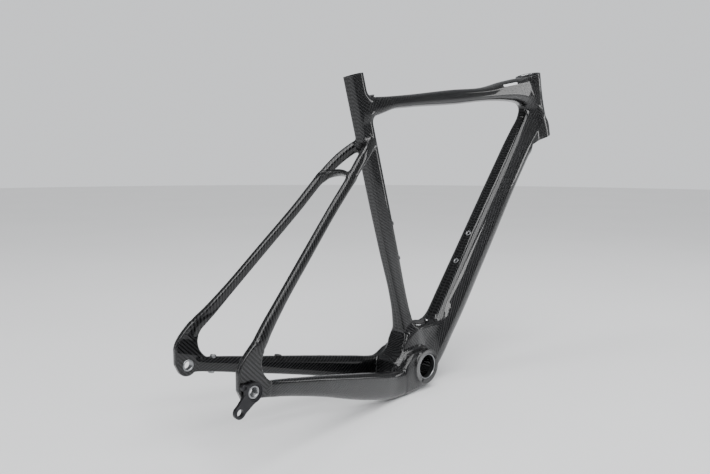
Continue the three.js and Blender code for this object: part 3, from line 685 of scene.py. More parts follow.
BRAKE_PLACES = (300, 374)
HOSE_ALONG = 262
for along in BRAKE_PLACES:
    drill(on_disc_stay(along, 11), -CHAINSTAY_LINE.ahead, 5.0, 9, "chainstay_disc_side", reach=8)
    low = float(stay_tube.section(along)[0])
    drill(on_disc_stay(along, low), CHAINSTAY_LINE.ahead, 5.0, 9, "chainstay_disc_side", reach=8)
drill(on_disc_stay(HOSE_ALONG, 10), -CHAINSTAY_LINE.ahead, 4.2, 12, "chainstay_disc_side", reach=8)
print("skin after cutting:", len(skin.faces), "faces")

# %% [markdown]
# ## Splitting the skin into its mouldings
#
# Each face belongs to the moulding whose own shape is nearest. The seams are scored where two
# distances are equal, which puts them in the fillets, where a maker hides them. The normals still come
# from the whole skin's field, so that no seam shows in the gloss.

# %% Seams
at = places_of(skin)
claims = np.stack([moulding_distance(name, at) for name in NAMES], 1)
nearest = claims.argmin(1)
seams = {}
for edge in skin.edges:
    a, b = (v.index for v in edge.verts)
    i, j = nearest[a], nearest[b]
    if i != j and not any(f[made] for f in edge.link_faces):
        start, end = claims[a, i] - claims[a, j], claims[b, i] - claims[b, j]
        if start < 0 < end:
            seams[edge] = min(max(start / (start - end), 0.02), 0.98)
score(skin, seams)
known = dict.fromkeys(f for f in skin.faces if not f[made])
queue = list(known)
while queue:  # faces made by cutting turn the way of their neighbours
    face = queue.pop()
    around = [(loop.vert, other.vert, other.face) for loop in face.loops
              for other in loop.edge.link_loops if other.face not in known]
    for here, there, neighbour in around:
        if neighbour not in known:
            if here == there:
                neighbour.normal_flip()
            known[neighbour] = None
            queue.append(neighbour)
skin.normal_update()
at = places_of(skin)
normals = unit(slope_of(skin_distance, at))
middles = np.array([f.calc_center_median() for f in skin.faces])
owners = np.stack([moulding_distance(name, middles) for name in NAMES], 1).argmin(1)
print("scored", len(seams), "edges along seams")

# %% [markdown]
# ## Lengths along the cloth
#
# The weave is drawn in two lengths, in metres: round the tube and along it. They are stored as a UV
# map, so that the cloth runs true on each tube and its cells are the same size everywhere.


# %% Cloth coordinates
def round_length(tube, along, ahead, y):
    """How far round a tube's middle section a point lies, and the whole way round, in mm."""
    rows = tube.section((tube.first + tube.last) / 2)
    turns = np.linspace(-math.pi, math.pi, 181)
    depth, half = (rows[1] - rows[0]) / 2, rows[2]
    c, s = np.cos(turns), np.sin(turns)
    power = 2 / np.where(c > 0, rows[5], rows[4])
    path = np.stack([depth * np.sign(c) * abs(c) ** power, half * np.sign(s) * abs(s) ** power], 1)
    length = np.concatenate([[0], np.linalg.norm(np.diff(path, axis=0), axis=1).cumsum()])
    spots = np.arctan2(path[:, 1] / half, path[:, 0] / depth)
    low, top, wide, middle = tube.section(along)[:4]
    turn = np.arctan2((y - middle) / wide, (ahead - (low + top) / 2) / ((top - low) / 2))
    return np.interp(turn, spots[1:-1], length[1:-1]), length[-1]


def cloth(name, points, normals):
    """Two lengths over the surface at each vertex, in metres, and the length after which one repeats."""
    shape = SKIN[name][0]
    if isinstance(shape, Tube):
        along, ahead, y = shape.line.local(points)
        across, around = round_length(shape, along, ahead, y)
        return np.stack([across, along], 1) * MM, around * MM
    x, y, z = points.T
    across = x + y * normals[:, 0] ** 2
    upward = z + abs(y) * normals[:, 2] ** 2
    return np.stack([across, upward], 1) * MM, FAR


def piece_from_faces(name, faces):
    """A mesh object of some of the skin's faces, in metres, with normals and cloth coordinates."""
    used = {}
    corners = [[used.setdefault(v.index, len(used)) for v in f.verts] for f in faces]
    index = np.array(list(used))
    mesh = bpy.data.meshes.new(name)
    mesh.from_pydata((at[index] * MM).tolist(), [], corners)
    lengths, around = cloth(name.replace("_skin", ""), at[index], normals[index])
    flow, loops = [], []
    for face, ids in zip(faces, corners):
        spot = lengths[ids]
        if np.ptp(spot[:, 0]) > around / 2:
            spot[spot[:, 0] < around / 2, 0] += around
        flow.append(spot)
        cut = face[made] > 0
        loops += [tuple(face.normal) if cut else tuple(normals[v.index]) for v in face.verts]
    layer = mesh.uv_layers.new(name="cloth")
    layer.data.foreach_set("uv", np.vstack(flow).astype(np.float32).ravel())
    mesh.polygons.foreach_set("use_smooth", [True] * len(corners))
    mesh.normals_split_custom_set(loops)
    piece = bpy.data.objects.new(name, mesh)
    bpy.context.scene.collection.objects.link(piece)
    return piece


carbon_pieces = {}
groups = {name: [] for name in NAMES}
for face, nearest in zip(skin.faces, owners):
    groups[NAMES[face[made] - 1 if face[made] else nearest]].append(face)
for name, faces in groups.items():
    carbon_pieces[name] = piece_from_faces(name + "_skin", faces)
    print(f"{name:24s}{len(faces):7d} faces")
skin.free()

# %% [markdown]
# ## Fittings
#
# The metal and rubber parts are turned or milled, so they keep crisp edges with small chamfers. A
# lathe in mesh code spins a profile round an axis. Milled parts reuse the distance fields on a much
# finer grid, which rounds their edges the way a tumbler does.


# %% Lathe
def add_piece(name, mesh, sharp=30):
    piece = bpy.data.objects.new(name, mesh)
    bpy.context.scene.collection.objects.link(piece)
    mesh.polygons.foreach_set("use_smooth", [True] * len(mesh.polygons))
    mesh.set_sharp_from_angle(angle=math.radians(sharp))
    return piece


def axis_frame(axis):
    """Two directions square to an axis."""
    axis = unit(np.array(axis, float))
    side = np.cross(axis, LEFT if abs(axis[1]) < 0.9 else UP)
    side = unit(side)
    return axis, side, np.cross(axis, side)


def lathe(name, profile, at, axis, turns=72, closed=True):
    """A solid of revolution. The profile lists radius and height, and a closed one is a ring."""
    axis, side, other = axis_frame(axis)
    angles = np.linspace(0, 2 * math.pi, turns, endpoint=False)
    mesh = bmesh.new()
    rings = []
    for radius, height in profile:
        spokes = [at + height * axis + radius * (math.cos(a) * side + math.sin(a) * other)
                  for a in (angles if radius > 0 else angles[:1])]
        rings.append([mesh.verts.new(np.array(p) * MM) for p in spokes])
    pairs = list(zip(rings, rings[1:] + rings[:1])) if closed else list(zip(rings, rings[1:]))
    for lower, upper in pairs:
        for i in range(turns):
            j = (i + 1) % turns
            corners = [lower[i % len(lower)], lower[j % len(lower)],
                       upper[j % len(upper)], upper[i % len(upper)]]
            corners = list(dict.fromkeys(corners))
            if len(corners) > 2:
                mesh.faces.new(corners)
    bmesh.ops.recalc_face_normals(mesh, faces=mesh.faces)
    data = bpy.data.meshes.new(name)
    mesh.to_mesh(data)
    mesh.free()
    return add_piece(name, data)


def tube_profile(inner, outer, low, high, chamfer=0.5, grooves=0):
    """A ring's profile with chamfered edges, and with thread grooves in its bore."""
    outside = [(outer - chamfer, low), (outer, low + chamfer), (outer, high - chamfer),
               (outer - chamfer, high)]
    bore = [(inner + chamfer, high), (inner, high - chamfer)]
    pitch = (high - low - 2 * chamfer) / max(grooves, 1)
    for k in range(grooves):
        top = high - chamfer - k * pitch
        bore += [(inner + 0.45, top - pitch / 2), (inner, top - pitch * 0.98)]
    if not grooves:
        bore.append((inner, low + chamfer))
    return outside + bore + [(inner + chamfer, low)]


# %% Headset, bottom bracket and axle rings
ORIGIN = np.zeros(3)
fittings = {}
RING_HEIGHT = 8
fittings["lower_headset_seat"] = lathe(
    "lower_headset_ring", tube_profile(23.9, 26.4, 0.4, 0.4 + RING_HEIGHT, chamfer=0.8),
    HEAD_LINE.start, HEAD_LINE.along, turns=96)
fittings["upper_headset_seat"] = lathe(
    "upper_headset_ring", tube_profile(
        19, 21.1, HEAD_TUBE_LENGTH - RING_HEIGHT - 0.4, HEAD_TUBE_LENGTH - 0.4, chamfer=0.8),
    HEAD_LINE.start, HEAD_LINE.along, turns=96)
for name, side in SIDES.items():
    seat = tube_profile(20.4, 22.8, SHELL_HALF - 11, SHELL_HALF - 0.6, chamfer=0.7)
    fittings["bearing_seat_" + name] = lathe(
        "bearing_ring_" + name, seat, ORIGIN, side * LEFT, turns=96)
fittings["axle_nut"] = lathe(
    "axle_nut_turned", tube_profile(6, 9, 71.2, 84, chamfer=0.6, grooves=8), AXLE, -LEFT)
fittings["axle_insert"] = lathe(
    "axle_insert_turned", tube_profile(6.15, 9, 70.8, 80.2, chamfer=0.6), AXLE, LEFT)

# %% [markdown]
# Bosses carry bottle cages, and sleeves carry the brake. Both are threaded in metal, because threads
# in carbon would crush. The grommet and the plug are rubber, with rounder edges.

# %% Bosses, sleeves, grommet and plug
BOSS = [(2.5, -10.5), (3.6, -10.5), (3.9, -10.1), (3.9, 0.3), (5.3, 0.3), (5.6, 0.6), (5.2, 1.1),
        (3.4, 1.1), (2.9, 0.7), (2.5, 0.1)]
for i, along in enumerate(BOSS_PLACES, 1):
    fittings[f"bottle_boss_seat_tube_{i}"] = lathe(
        f"seat_tube_boss_{i}", BOSS, SEAT_LINE.at(along, 22), SEAT_LINE.ahead, turns=48)
    fittings[f"bottle_boss_down_tube_{i}"] = lathe(
        f"down_tube_boss_{i}", BOSS, DOWN_LINE.at(along, -24.5), -DOWN_LINE.ahead, turns=48)
for i, (along, low) in enumerate(zip(BRAKE_PLACES, (-18.5, -13.5)), 1):
    fittings[f"brake_sleeve_{i}"] = lathe(
        f"brake_sleeve_turned_{i}", tube_profile(2.7, 4.7, low, 13.5, chamfer=0.5, grooves=12),
        on_disc_stay(along, 0), CHAINSTAY_LINE.ahead, turns=48)
GROMMET = [(2.6, 6.5), (3.9, 6.5), (3.9, 10.4), (5.7, 10.4), (6, 10.7), (5.8, 11.4), (5.1, 11.9),
           (3.4, 12), (2.8, 11.6), (2.6, 10.8)]
fittings["brake_hose_grommet"] = lathe(
    "hose_grommet", GROMMET, on_disc_stay(HOSE_ALONG, 0), CHAINSTAY_LINE.ahead, turns=48)
PLUG = [(0, 0.6), (4.7, 0.6), (4.9, 0.9), (4.9, 2.3), (6.2, 3.0), (6.4, 3.3), (6.0, 3.9), (5.0, 4.3),
        (2.4, 4.5), (2.0, 4.1), (0, 4.0)]
fittings["seat_clamp_plug"] = lathe(
    "clamp_plug", PLUG, CLAMP_AT, SEAT_LINE.along, turns=48, closed=False)


# %% [markdown]
# ## Milled pieces
#
# The hanger, the port's cover and its bracket are small solids with rounded edges and through holes.
# Each is written as a field made of simple rounded shapes, with a hole as a distance turned inside
# out, and meshed on a grid of a few tenths of a millimetre.


# %% Milled pieces
def milled(name, distance, low, high, step=0.5):
    points, quads = surface(distance, low, high, step)
    mesh = bpy.data.meshes.new(name)
    mesh.from_pydata((points * MM).tolist(), [], quads.tolist())
    mesh.validate()
    return add_piece(name, mesh, sharp=48)


def capsule(points, a, b, radius_a, radius_b):
    """Distance in a plane to a bar with round ends, which tapers from a to b."""
    a, b = np.array(a, float), np.array(b, float)
    t = np.clip((points - a) @ (b - a) / ((b - a) @ (b - a)), 0, 1)
    return np.linalg.norm(points - a - t[:, None] * (b - a), axis=1) - (
        radius_a + (radius_b - radius_a) * t)


def rounded(flat, side, edge):
    """A plate's distance from its outline's and its thickness's, with rounded edges."""
    flat, side = flat + edge, side + edge
    out = np.hypot(np.maximum(flat, 0), np.maximum(side, 0))
    return np.minimum(np.maximum(flat, side), 0) + out - edge


HANGER_AT = (-433.0, 48.0)
HANGER_FACES = (-86.3, -80.3)
HANGER_SCREW = (AXLE[0] - 15, AXLE[2] + 9.5)


def hanger_distance(p):
    flat, y = p[:, [0, 2]], p[:, 1]
    axle = AXLE[[0, 2]]
    arm = capsule(flat, axle + (-2, -2), HANGER_AT, 11, 7.4)
    disc = np.linalg.norm(flat - axle, axis=1) - 13.3
    boss = np.linalg.norm(flat - HANGER_AT, axis=1) - 8.2
    tail = capsule(flat, axle, HANGER_SCREW, 8, 4.4)
    outline = join(join(join(disc, arm, 3), boss, 2), tail, 4)
    thick = abs(y - sum(HANGER_FACES) / 2) - (HANGER_FACES[1] - HANGER_FACES[0]) / 2
    body = rounded(outline, thick, 0.8)
    dish = np.maximum(np.linalg.norm(flat - axle, axis=1) - 11.4, y - (HANGER_FACES[0] + 1.2))
    holes = np.minimum(np.linalg.norm(flat - axle, axis=1) - 9.3,
                       np.linalg.norm(flat - HANGER_AT, axis=1) - 4.9)
    screw = np.maximum(np.linalg.norm(flat - HANGER_SCREW, axis=1) - 2.6, y - (HANGER_FACES[0] + 2))
    return np.maximum(body, -np.minimum(np.minimum(dish, holes), screw))


hanger_low, hanger_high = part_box("derailleur_hanger")
fittings["derailleur_hanger"] = milled(
    "hanger_milled", hanger_distance, np.array(hanger_low) / MM, np.array(hanger_high) / MM, 0.6)

# %% [markdown]
# The charge port sits in the shelf above the bottom bracket: a ring, a socket with contacts, and a
# round lid on a hinge. The lid rides on its own body, so its knuckle is modelled round the hinge pin.

# %% Charge port
RING = [(8.6, -13), (10.9, -13), (10.9, 0.3), (12.4, 0.3), (12.8, 0.7), (12.5, 1.2), (12.1, 1.4),
        (9.4, 1.4), (8.9, 1.1), (8.6, 0.5)]
fittings["charge_port_ring"] = lathe("port_ring", RING, PORT_AT, UP, turns=80)
HINGE_AT = np.array([39.5, 0, 69.9])
COVER_LOW = SHELF_Z + 1.7


def cover_distance(p):
    x, y, z = (p - PORT_AT).T
    lid = rounded(np.hypot(x, y) - 12.5, abs(z - 2.9) - 1.2, 0.7)
    crown = rounded(np.hypot(x, y) - 8.6, abs(z - 4.1) - 0.6, 0.4)
    groove = np.hypot(np.hypot(x, y) - 9.6, z - 4.3) - 0.5
    tongue = np.maximum(abs(y) - 3.3, rounded(
        capsule(p[:, [0, 2]], (PORT_AT[0] + 7, COVER_LOW + 1.1), HINGE_AT[[0, 2]], 1.1, 1.4),
        abs(y) - 3.3, 0.3))
    knuckle = rounded(np.hypot(*(p - HINGE_AT)[:, [0, 2]].T) - 2.1, abs(y) - 3.4, 0.3)
    pin = np.hypot(*(p - HINGE_AT)[:, [0, 2]].T) - 1.2
    tab = rounded(capsule(p[:, [0, 1]] - PORT_AT[[0, 1]], (-11.2, 0), (-12.0, 0), 3, 2.2),
                  abs(z - 2.7) - 0.8, 0.5)
    body = join(join(join(lid, crown, 0.6), tongue, 1.5), join(knuckle, tab, 0.5), 0.8)
    return np.maximum(body, -np.minimum(pin, groove))


lid_low, lid_high = (np.array(corner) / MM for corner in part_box("charge_port_cover"))
fittings["charge_port_cover"] = milled("port_cover_moulded", cover_distance, lid_low, lid_high, 0.45)
SCREW_AT = np.array([49.5, 0, SHELF_Z])


def bracket_distance(p):
    x, y, z = p.T
    base = rounded(np.maximum(abs(x - 46) - 8.4, abs(y) - 6.4), abs(z - SHELF_Z - 0.9) - 0.6, 0.3)
    ear = capsule(p[:, [0, 2]], HINGE_AT[[0, 2]], (HINGE_AT[0] + 0.6, SHELF_Z + 1.2), 1.9, 2.4)
    ears = rounded(ear, abs(abs(y) - 5.15) - 1.3, 0.3)
    holes = np.minimum(np.hypot(*(p - HINGE_AT)[:, [0, 2]].T) - 1.0,
                       np.hypot(*(p - SCREW_AT)[:, [0, 1]].T) - 2.3)
    slot = np.maximum(abs(y) - 3.8, x - HINGE_AT[0] - 2.9)
    floor = SHELF_Z + 0.3 - z
    return np.maximum(np.maximum(join(base, ears, 1.2), floor), -np.minimum(holes, slot))


low, high = (np.array(corner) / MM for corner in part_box("charge_port_bracket"))
fittings["charge_port_bracket"] = milled("port_bracket_milled", bracket_distance, low, high, 0.4)


def screw_distance(p):
    x, y, z = (p - SCREW_AT).T
    radius = np.hypot(x, y)
    dome = np.maximum(np.sqrt(radius**2 + (z + 1.0) ** 2) - 4.6, np.maximum(radius - 3.5, 1.8 - z))
    shank = np.maximum(radius - 1.9, np.maximum(z - 2.2, -4.5 - z))
    hexagon = np.max([abs(x * math.cos(a) + y * math.sin(a)) for a in np.radians((0, 60, 120))],
                     axis=0) - 1.3
    return np.maximum(np.minimum(dome, shank), -np.maximum(hexagon, 2.3 - z))


fittings["charge_port_screw"] = milled(
    "port_screw_turned", screw_distance, SCREW_AT - (3.6, 3.6, 4.5), SCREW_AT + (3.6, 3.6, 3.6), 0.3)
PIN = [(0, -6.5), (0.5, -6.5), (0.8, -6.2), (0.8, 6.2), (0.5, 6.5), (0, 6.5)]
fittings["charge_port_pin"] = lathe("port_pin_turned", PIN, HINGE_AT, LEFT, turns=32, closed=False)
PINS = 5
socket = [(0, -12), (7.9, -12), (8.2, -11.7), (8.2, -7.4), (7.8, -7), (6.8, -7), (6.5, -8.4), (0, -8.4)]
fittings["charge_port_socket"] = lathe("port_socket_moulded", socket, PORT_AT, UP, 64, closed=False)
contacts = []
for k in range(PINS):
    turn = 2 * math.pi * k / PINS
    spot = PORT_AT + np.array([3.9 * math.cos(turn), 3.9 * math.sin(turn), -8.5])
    contacts.append(lathe(f"port_contact_{k + 1}", [
        (0, 0), (0.8, 0), (0.8, 2.2), (0.5, 2.9), (0, 3.1)], spot, UP, 24, closed=False))
print(len(fittings), "fittings and", PINS, "contacts")

# %% [markdown]
# ## A plain inlay
#
# A slim pale bar is let into the fairing beside the head tube on the drive side. Its mesh is a grid
# that is pressed onto the skin: each vertex moves across the frame until the field says that it has
# met the surface.

# %% Inlay
BAR_START, BAR_END = np.array([264.0, 509.6]), np.array([314.0, 519.2])
BAR_HALF = 2.1
BAR_PROUD = 0.12
BAR_THICKNESS = 0.25


def press(points, side=-1, far=45.0):
    """Moves points across the frame onto the skin's outside on one side."""
    inner, outer = np.zeros(len(points)), np.full(len(points), far)
    for _ in range(24):
        middle = (inner + outer) / 2
        probe = np.column_stack([points[:, 0], side * middle, points[:, 1]])
        inside = skin_distance(probe) < 0
        inner, outer = np.where(inside, middle, inner), np.where(inside, outer, middle)
    return np.column_stack([points[:, 0], side * (inner + BAR_PROUD), points[:, 1]])


LONG, WIDE = 60, 8  # faces along and across the bar
run = BAR_END - BAR_START
across = unit(np.array([-run[1], run[0]]))
grid = []
for i in range(LONG + 1):
    s = i / LONG
    length = np.linalg.norm(run)
    end = min(s, 1 - s) * length
    half = BAR_HALF * (math.sqrt(max(1 - (1 - end / BAR_HALF) ** 2, 0.02)) if end < BAR_HALF else 1)
    grid += [BAR_START + run * s + across * half * (2 * k / WIDE - 1) for k in range(WIDE + 1)]
grid = press(np.array(grid))
row = WIDE + 1
cells = [(i * row + k, (i + 1) * row + k, (i + 1) * row + k + 1, i * row + k + 1)
         for i in range(LONG) for k in range(WIDE)]
bar_mesh = bpy.data.meshes.new("fairing_inlay")
bar_mesh.from_pydata((grid * MM).tolist(), [], cells)
inlay = add_piece("fairing_inlay", bar_mesh)
thicken = inlay.modifiers.new("thickness", "SOLIDIFY")
thicken.thickness = BAR_THICKNESS * MM
thicken.offset = 0
print("inlay:", round(float(np.linalg.norm(run))), "mm long")

# %% [markdown]
# ## Materials
#
# Carbon cloth under lacquer is two surfaces: rough, half-metallic fibres that tilt with the weave, and
# a smooth clear coat above them. The weave itself is a node group that draws a 2 x 2 twill from the
# cloth's two lengths, so that any carbon piece can use it with its own cell size. Its colour holds
# painted sheen and painted shade: the tows lying one way are painted pale, as if they caught the light,
# and each tow is painted darker toward its edges.


# %% Node helpers
def new_group(name, inputs, outputs):
    """A node group with named sockets, as (name, kind, default)."""
    tree = bpy.data.node_groups.new(name, "ShaderNodeTree")
    for label, kind, value in inputs:
        socket = tree.interface.new_socket(label, in_out="INPUT", socket_type="NodeSocket" + kind)
        if value is not None:
            socket.default_value = value
    for label, kind in outputs:
        tree.interface.new_socket(label, in_out="OUTPUT", socket_type="NodeSocket" + kind)
    return tree, tree.nodes.new("NodeGroupInput"), tree.nodes.new("NodeGroupOutput")


def place(tree, kind, *links, **settings):
    """A node with its settings, and its inputs in order: a socket to link, or a value."""
    node = tree.nodes.new("ShaderNode" + kind)
    for key, value in settings.items():
        setattr(node, key, value)
    for i, source in enumerate(links):
        if isinstance(source, bpy.types.NodeSocket):
            tree.links.new(source, node.inputs[i])
        elif source is not None:
            node.inputs[i].default_value = source
    return node


def maths(tree, operation, *links):
    return place(tree, "Math", *links, operation=operation).outputs[0]


def blend_colours(tree, share, first, second):
    node = tree.nodes.new("ShaderNodeMix")
    node.data_type = "RGBA"
    for socket, source in zip((node.inputs[0], node.inputs[6], node.inputs[7]), (share, first, second)):
        if isinstance(source, bpy.types.NodeSocket):
            tree.links.new(source, socket)
        else:
            socket.default_value = source
    return node.outputs[2]


# %% Woven cloth group
def make_twill():
    tree, source, target = new_group("woven_cloth_painted_sheen", [
        ("Lengths", "Vector", None), ("Tow Width", "Float", 0.002), ("Painted Sheen Tow", "Color", (1, 1, 1, 1)),
        ("Dark Fibre", "Color", (0, 0, 0, 1))], [("Color", "Color"), ("Height", "Float")])
    lengths, tow, light, dark = (source.outputs[i] for i in range(4))
    apart = place(tree, "SeparateXYZ", lengths)
    u, v = apart.outputs[0], apart.outputs[1]
    warp, weft = maths(tree, "DIVIDE", u, tow), maths(tree, "DIVIDE", v, tow)
    i, j = maths(tree, "FLOOR", warp), maths(tree, "FLOOR", weft)
    step = maths(tree, "FLOORED_MODULO", maths(tree, "ADD", i, j), 4.0)
    over = maths(tree, "LESS_THAN", step, 1.5)
    bulges = []
    for coordinate in (warp, weft):
        part = maths(tree, "SUBTRACT", maths(tree, "FRACT", coordinate), 0.5)
        bulges.append(maths(tree, "SUBTRACT", 1.0, maths(
            tree, "MULTIPLY", maths(tree, "MULTIPLY", part, part), 4.0)))
    under = maths(tree, "SUBTRACT", 1.0, over)
    height = maths(tree, "ADD", maths(tree, "MULTIPLY", bulges[0], over),
                   maths(tree, "MULTIPLY", bulges[1], under))
    dive = maths(tree, "ADD", maths(tree, "MULTIPLY", bulges[1], over),
                 maths(tree, "MULTIPLY", bulges[0], under))
    height = maths(tree, "ADD", height, maths(tree, "MULTIPLY", dive, 0.35))
    streak = place(tree, "TexNoise", noise_dimensions="3D")
    stretched = place(tree, "CombineXYZ", maths(tree, "MULTIPLY", warp, 7.0),
                      maths(tree, "MULTIPLY", weft, 7.0), step)
    tree.links.new(stretched.outputs[0], streak.inputs["Vector"])
    streak.inputs["Scale"].default_value = 1.0
    streak.inputs["Detail"].default_value = 3.0
    # Painted sheen: cells where the warp lies on top are painted pale, as if their tows caught the light.
    # The streak noise is random tone in the fibres.
    shade = maths(tree, "MULTIPLY", over, maths(tree, "MULTIPLY_ADD", streak.outputs[0], 0.5, 0.72))
    shade = maths(tree, "ADD", shade, maths(tree, "MULTIPLY", under, maths(
        tree, "MULTIPLY", streak.outputs[0], 0.3)))
    # Painted shade: each tow is painted darker toward its edges, where its rounded top turns from the
    # light.
    shade = maths(tree, "MULTIPLY", shade, maths(tree, "MULTIPLY_ADD", height, 0.5, 0.4))
    tree.links.new(blend_colours(tree, shade, dark, light), target.inputs["Color"])
    tree.links.new(height, target.inputs["Height"])
    return tree


def make_wear():
    """Soft mottling of a finish, and a mask that is high on it, from an object's own coordinates."""
    tree, source, target = new_group("surface_variation", [
        ("Position", "Vector", None), ("Patch Size", "Float", 0.02), ("Low", "Float", 0.2),
        ("High", "Float", 0.4)], [("Value", "Float"), ("Mask", "Float"), ("Grain", "Float")])
    position, size, low, high = (source.outputs[i] for i in range(4))
    scale = maths(tree, "DIVIDE", 1.0, size)
    broad = place(tree, "TexNoise")
    fine = place(tree, "TexNoise")
    for node, factor, detail in ((broad, 1.0, 4.0), (fine, 22.0, 2.0)):
        tree.links.new(position, node.inputs["Vector"])
        tree.links.new(maths(tree, "MULTIPLY", scale, factor), node.inputs["Scale"])
        node.inputs["Detail"].default_value = detail
    spread = maths(tree, "SUBTRACT", high, low)
    tree.links.new(maths(tree, "MULTIPLY_ADD", broad.outputs[0], spread, low), target.inputs["Value"])
    tree.links.new(broad.outputs[0], target.inputs["Mask"])
    tree.links.new(fine.outputs[0], target.inputs["Grain"])
    return tree


twill = make_twill()
variation = make_wear()
print("node groups:", twill.name, "and", variation.name)

# %% [markdown]
# A finish is a material made by a function, so that all metals share one recipe: two near colours in
# patches, roughness that varies with them, and a fine grain in the bump.

# %% Finishes
def new_material(name):
    material = bpy.data.materials.new(name)
    material.use_nodes = True
    tree = material.node_tree
    return material, tree, tree.nodes["Principled BSDF"]


def vary(tree, size, low, high):
    """The variation group in a material, on the object's own coordinates."""
    where = place(tree, "TexCoord").outputs["Object"]
    node = tree.nodes.new("ShaderNodeGroup")
    node.node_tree = variation
    tree.links.new(where, node.inputs["Position"])
    for label, value in (("Patch Size", size), ("Low", low), ("High", high)):
        node.inputs[label].default_value = value
    return node


def bump_into(tree, shader, height, distance, strength=1.0):
    bump = tree.nodes.new("ShaderNodeBump")
    bump.inputs["Strength"].default_value = strength
    bump.inputs["Distance"].default_value = distance
    tree.links.new(height, bump.inputs["Height"])
    tree.links.new(bump.outputs[0], shader.inputs["Normal"])


def carbon_finish(name, tow, light, dark, coat):
    material, tree, shader = new_material(name)
    cloth_map = place(tree, "UVMap", uv_map="cloth")
    weave = tree.nodes.new("ShaderNodeGroup")
    weave.node_tree = twill
    tree.links.new(cloth_map.outputs[0], weave.inputs["Lengths"])
    weave.inputs["Tow Width"].default_value = tow
    weave.inputs["Painted Sheen Tow"].default_value = light
    weave.inputs["Dark Fibre"].default_value = dark
    patches = vary(tree, 0.05, 0.26, 0.4)
    tree.links.new(weave.outputs["Color"], shader.inputs["Base Color"])
    tree.links.new(patches.outputs["Value"], shader.inputs["Roughness"])
    bump_into(tree, shader, weave.outputs["Height"], tow * 0.16, 0.9)
    shader.inputs["Metallic"].default_value = 1.0
    shader.inputs["Coat Weight"].default_value = coat
    shader.inputs["Coat Roughness"].default_value = 0.035
    shader.inputs["Coat IOR"].default_value = 1.4
    return material


def plain_finish(name, colour, second, size, rough, metallic, grain=0.00002, coat=0.0):
    """A metal, rubber or plastic: two near colours in patches, uneven roughness and a fine grain."""
    material, tree, shader = new_material(name)
    patches = vary(tree, size, *rough)
    tint = blend_colours(tree, patches.outputs["Mask"], (*colour, 1), (*second, 1))
    tree.links.new(tint, shader.inputs["Base Color"])
    tree.links.new(patches.outputs["Value"], shader.inputs["Roughness"])
    bump_into(tree, shader, patches.outputs["Grain"], grain)
    shader.inputs["Metallic"].default_value = metallic
    shader.inputs["Coat Weight"].default_value = coat
    return material


# The pale colour is painted sheen on the tows that face the light; the near-black one is the fibres' own
# colour.
CARBON = carbon_finish(
    "carbon_weave_painted_sheen", 0.0016, (0.036, 0.0365, 0.038, 1), (0.0015, 0.0015, 0.0017, 1), 1.0)
ALLOY = plain_finish("blasted_alloy", (0.3, 0.305, 0.315), (0.22, 0.225, 0.23), 0.006, (0.24, 0.4), 1.0)
BLACK_ALLOY = plain_finish(
    "black_anodised", (0.02, 0.02, 0.022), (0.035, 0.035, 0.038), 0.006, (0.26, 0.42), 0.75)
STEEL = plain_finish("bright_steel", (0.6, 0.6, 0.61), (0.5, 0.5, 0.52), 0.003, (0.16, 0.3), 1.0)
RUBBER = plain_finish(
    "moulded_rubber", (0.014, 0.014, 0.015), (0.024, 0.024, 0.025), 0.004, (0.55, 0.75), 0.0, 0.00005)
BRASS = plain_finish("gilt_contact", (0.72, 0.52, 0.22), (0.6, 0.42, 0.18), 0.002, (0.2, 0.3), 1.0)
PALE = plain_finish("inlay_enamel", (0.72, 0.73, 0.74), (0.64, 0.65, 0.67), 0.01, (0.2, 0.3), 0.0, coat=0.6)
print("materials:", len(bpy.data.materials))

# %% [markdown]
# ## Every piece gets its finish, and each new piece its body
#
# A piece rides on the body that the record names for it: nearly all ride on the frame, and the port's
# cover on its hinge. Each piece's finish comes from the slot that the record gives its node, and the
# parts kept from the CAD get their finishes the same way.

# %% Dress and attach
LOOKS = {"carbon_gloss": CARBON, "alloy": ALLOY, "black_alloy": BLACK_ALLOY, "steel": STEEL,
         "rubber": RUBBER}
slot_of = {row["node"]: row["material_slot"] for row in frame["record"]["subparts"]}
body_of = {name: body for body, names in frame["record"]["behaviour"]["bodies"].items() for name in names}


def dress(piece, material, body):
    piece.data.materials.clear()
    piece.data.materials.append(material)
    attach(piece, body)


for node, piece in {**carbon_pieces, **fittings}.items():
    dress(piece, LOOKS[slot_of[node]], body_of[node])
    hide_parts(node)
for contact in contacts:
    dress(contact, BRASS, "frame")
dress(inlay, PALE, "frame")
for node in sorted(set(slot_of) - set(carbon_pieces) - set(fittings)):
    frame["nodes"][node].data.materials.clear()
    frame["nodes"][node].data.materials.append(LOOKS[slot_of[node]])
    print("kept from the CAD:", node)

# %% [markdown]
# ## Floor and light
#
# Gloss black shows only what it reflects, so the light is the picture: large soft panels give long
# clean highlights along the tubes, and a pale floor lights the undersides of the stays.

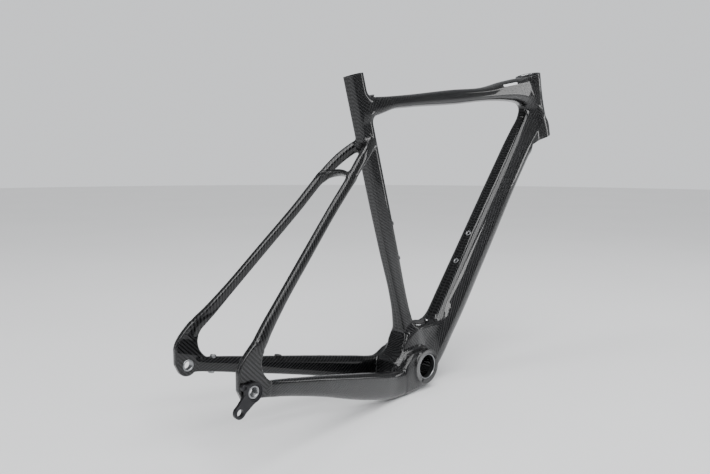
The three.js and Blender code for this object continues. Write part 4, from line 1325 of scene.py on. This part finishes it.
# %% Floor
FLOOR_GAP = 0.0005
FLOOR_RADIUS = 9.0
low_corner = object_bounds()[0]
floor_mesh = bpy.data.meshes.new("floor")
turns = np.linspace(0, 2 * math.pi, 96, endpoint=False)
floor_mesh.from_pydata(
    [(FLOOR_RADIUS * math.cos(t), FLOOR_RADIUS * math.sin(t), low_corner.z - FLOOR_GAP) for t in turns],
    [], [list(range(len(turns)))])
floor = bpy.data.objects.new("floor", floor_mesh)
bpy.context.scene.collection.objects.link(floor)
FLOOR_PAINT = plain_finish(
    "studio_floor", (0.74, 0.745, 0.755), (0.77, 0.775, 0.785), 0.6, (0.55, 0.7), 0.0)
floor_mesh.materials.append(FLOOR_PAINT)


# %% Lights
def soft_panel(name, at, aim, size, power):
    light = bpy.data.lights.new(name, "AREA")
    light.shape = "RECTANGLE"
    light.size, light.size_y = size
    light.energy = power
    panel = bpy.data.objects.new(name, light)
    bpy.context.scene.collection.objects.link(panel)
    panel.location = at
    panel.rotation_euler = (Vector(aim) - Vector(at)).to_track_quat("-Z", "Y").to_euler()
    return panel


CENTRE = (0.0, 0.0, 0.24)
soft_panel("side_strip", (-0.7, -1.7, 1.25), CENTRE, (2.4, 0.35), 26)
soft_panel("overhead", (0.1, 0.1, 2.2), CENTRE, (2.6, 0.5), 26)
soft_panel("rear_strip", (-2.2, 0.9, 0.9), CENTRE, (0.3, 1.4), 9)
soft_panel("front_strip", (2.0, -1.0, 0.8), CENTRE, (0.3, 1.2), 4.5)

sun = bpy.data.lights.new("high_window", "SUN")
sun.energy = 3.0
sun.angle = math.radians(50)
window = bpy.data.objects.new("high_window", sun)
bpy.context.scene.collection.objects.link(window)
window.rotation_euler = (math.radians(24), math.radians(-14), 0)

# %% [markdown]
# The room is pale to the eye but dim to the reflections, so that gloss black stays black. A light
# path node tells a ray from the camera from the others.

# %% Room
world = bpy.data.worlds.new("studio")
bpy.context.scene.world = world
world.use_nodes = True
tree = world.node_tree
room = tree.nodes["Background"]
room.inputs["Color"].default_value = (0.9, 0.92, 0.95, 1)
room.inputs["Strength"].default_value = 0.25
backdrop = tree.nodes.new("ShaderNodeBackground")
backdrop.inputs["Color"].default_value = (0.96, 0.975, 1.0, 1)
backdrop.inputs["Strength"].default_value = 0.97
ray = tree.nodes.new("ShaderNodeLightPath")
mix = tree.nodes.new("ShaderNodeMixShader")
tree.links.new(ray.outputs["Is Camera Ray"], mix.inputs[0])
tree.links.new(room.outputs[0], mix.inputs[1])
tree.links.new(backdrop.outputs[0], mix.inputs[2])
tree.links.new(mix.outputs[0], tree.nodes["World Output"].inputs["Surface"])
